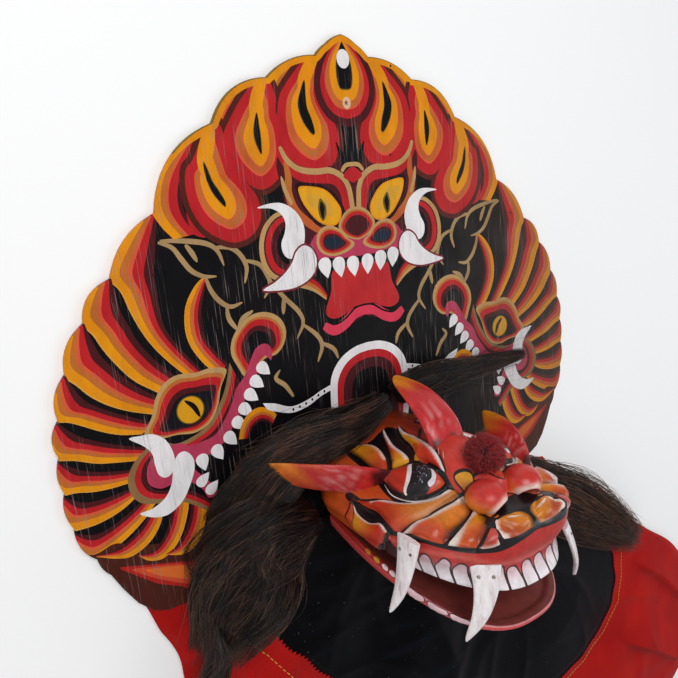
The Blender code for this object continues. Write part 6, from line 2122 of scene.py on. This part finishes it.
def pleats(flat):
    """Folds with a gentle side and a steep side, each growing from its start towards the hem."""
    total = np.zeros(len(flat))
    for start, end, height in PLEATS:
        run = np.array(end) - start
        length = np.linalg.norm(run)
        run = run / length
        u = (flat - start) @ run
        v = (flat - start) @ np.array((-run[1], run[0])) + 0.0016 * np.sin(u * 45)
        profile = np.where(v > 0, np.exp(-(np.abs(v) / 0.034) ** 1.2), np.exp(-(np.abs(v) / 0.007) ** 1.2))
        total += height * profile * smoothstep(-0.01, 0.07, u) * (1
                                                                  - 0.8
                                                                  * smoothstep(length, length + 0.10, u))
    return total


def seam_line(first, last):
    """Evenly spaced points along the black panel's edge, with outward directions."""
    steps = np.linspace(first, last, 900)
    line = closed_curve(BLACK_EDGE, steps / CLOTH_STEPS)
    run = run_along(line)
    count = 2 * int(run[-1] / PINK_STEP) + 1
    steps = np.interp(np.linspace(0, run[-1], count), run, steps)
    line = closed_curve(BLACK_EDGE, steps / CLOTH_STEPS)
    ahead = closed_curve(BLACK_EDGE, (steps + 0.1) / CLOTH_STEPS) - line
    outward = np.stack([ahead[:, 1], -ahead[:, 0]], axis=1) / np.linalg.norm(ahead, axis=1)[:, None]
    flip = ((outward * (line - BLACK_MIDDLE)).sum(axis=1) < 0)[:, None]
    outward = np.where(flip, -outward, outward)
    return steps, line, outward


def red_panel(name, first, last, seed):
    """A panel from its pinked inner edge out to the cape's hem, and the line of its stitches."""
    steps, line, outward = seam_line(first, last)
    wobble = 0.0016 * np.sin(np.arange(len(line)) * 0.37 + seed)
    zigzag = np.where(np.arange(len(line)) % 2 == 0, 0.0, PINK_DEPTH)
    outer = open_curve(RED_EDGE, (steps - RED_START) / (RED_END - RED_START))
    width = np.linalg.norm(outer - line, axis=1)
    ends = np.sqrt(np.clip(np.sin(np.pi * (steps - RED_START) / (RED_END - RED_START)), 0.0, 1.0))

    def surface(across, tooth=0.0):
        inwards = (OVERLAP + wobble) * (1 - smoothstep(0.0, 0.10, across)) + tooth
        flat = line - outward * inwards[:, None] + (outer - line) * across[:, None]
        share = 4 * across * (1 - across) * ends
        height = CLOTH_TOP + fold_height(flat, share)
        height += 0.0012 * smoothstep(RED_SEAM + 0.6, RED_SEAM - 0.1, steps) * (first > RED_START)
        creases = crease(flat, seed + 3, 1.8, 0.0060, 16) + crease(flat, seed, 1.0, 0.0065)
        creases = creases + crease(flat, seed + 7, 0.6, 0.0030, 40)
        height += (creases + pleats(flat)) * np.clip(across * 9, 0, 1) * np.clip((1 - across) * 9, 0.15, 1)
        for k in np.nonzero(inwards > width * across - 0.012)[0]:
            hit, place, normal, face = cloth_black.ray_cast((flat[k, 0], flat[k, 1], 0.3), (0.0, 0.0, -1.0))
            if hit:
                height[k] = max(height[k], place.z + 0.0016)
        if first == RED_START:
            tucked = smoothstep(first + 0.8, first, steps)
            flat[:, 1] += 0.012 * tucked
            height *= 1 - 0.45 * tucked
        return np.column_stack([flat, height])

    shares = np.linspace(0.006, 1.0, 46) ** 1.25
    rows = [surface(np.zeros(len(steps)), zigzag)] + [surface(np.full(len(steps), share))
                                                      for share in shares]
    number = np.arange(len(rows) * len(steps)).reshape(len(rows), len(steps))
    a, b, c, d = number[:-1, :-1], number[:-1, 1:], number[1:, 1:], number[1:, :-1]
    made = mesh_object(name, np.vstack(rows), np.stack([a, b, c, d], axis=-1).reshape(-1, 4).tolist())
    cloth_sheet(made)
    return made, surface(0.0105 / width)


cotton, tree, shader = finish_of("red_cotton", 0.80, 0.08)
warp, weft = (wave(tree, 1900.0, turn, 0.8, 1.0) for turn in (0.9, 2.47))
threads = add_node(tree, "ShaderNodeMath", {0: warp, 1: weft}, operation="ADD")
uneven_dye_and_painted_shade = noise(tree, 16.0, 5.0)
colour = ramp(tree, uneven_dye_and_painted_shade, (0.30, "A41210"), (0.52, "B21512"), (0.75, "C01C14"))
colour = mix_colour(tree, 0.4, colour, ramp(tree, threads.outputs[0], (0.3, 0.55), (1.0, 1.05)), "MULTIPLY")
tree.links.new(colour, shader.inputs["Base Color"])
shader.inputs["Sheen Weight"].default_value = 0.04
fine = bump(tree, threads.outputs[0], 0.3, 0.0003, shader)
bump(tree, uneven_dye_and_painted_shade, 0.25, 0.0012, shader, fine)
panels = {}
for name, first, last, seed, area, size in (("cloth_red_left", RED_START, RED_SEAM, 11, 0.075,
                                             (0.62, 0.26)),
                                            ("cloth_red_right", RED_SEAM - SEAM_OVERLAP, RED_END, 11,
                                             0.21, (0.95, 0.36))):
    piece, seam_path = red_panel(name + "_cotton", first, last, seed)
    piece.data.materials.append(cotton)
    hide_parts(name)
    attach(piece, "mask")
    panels[name] = (piece, seam_path, area, size)
    print(name, len(piece.data.polygons))

# %% [markdown]
# ### Yellow stitches
# A line of yellow thread holds the two cloths together. One stitch is a small rounded bar. It is
# modelled once from a cube with bevelled edges and copied along the seam, a little off the line here
# and there, as a sewing machine run by hand leaves it.

# %% Stitches
STITCH_LENGTH, STITCH_GAP, STITCH_WIDTH = 0.0042, 0.0022, 0.0010
bpy.ops.object.select_all(action="DESELECT")
bpy.ops.mesh.primitive_cube_add(size=1.0)
pattern = bpy.context.object
pattern.name = "stitch_pattern"
pattern.scale = (STITCH_LENGTH, STITCH_WIDTH, STITCH_WIDTH * 0.8)
bpy.ops.object.transform_apply(location=False, rotation=False, scale=True)
bevel = pattern.modifiers.new("round", "BEVEL")
bevel.width = STITCH_WIDTH * 0.38
bevel.segments = 2
bpy.ops.object.modifier_apply(modifier="round")
stitch_points = np.array([tuple(vertex.co) for vertex in pattern.data.vertices])
stitch_faces = [tuple(polygon.vertices) for polygon in pattern.data.polygons]
bpy.data.objects.remove(pattern, do_unlink=True)
thread, tree, shader = finish_of("yellow_thread", 0.6)
lay = ramp(tree, wave(tree, 2500.0, 0.8, 1.0), (0.2, (0.42, 0.24, 0.02)), (0.8, (0.78, 0.50, 0.06)))
tree.links.new(lay, shader.inputs["Base Color"])
for name, (piece, row, area, size) in panels.items():
    run = run_along(row)
    places = np.arange(0.004, run[-1] - 0.004, STITCH_LENGTH + STITCH_GAP)
    dice = np.random.default_rng(5)
    vertices, faces = [], []
    for place in places:
        spots = [np.array([np.interp(place + step, run, row[:, axis]) for axis in range(3)])
                 for step in (-0.001, 0.0, 0.001)]
        along = spots[2] - spots[0]
        along /= np.linalg.norm(along)
        side = np.cross((0, 0, 1.0), along)
        side /= np.linalg.norm(side)
        up = np.cross(along, side)
        spot = spots[1] + side * dice.normal(0, 0.00025) + up * STITCH_WIDTH * 0.30
        local = stitch_points @ np.array((along, side, up))
        faces += [tuple(n + len(vertices) * len(stitch_points) for n in face) for face in stitch_faces]
        vertices.append(local + spot)
    seam = mesh_object(name + "_stitches", np.vstack(vertices), faces)
    seam.data.shade_smooth()
    seam.data.materials.append(thread)
    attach(seam, "mask")
    print(name, "stitches:", len(places))
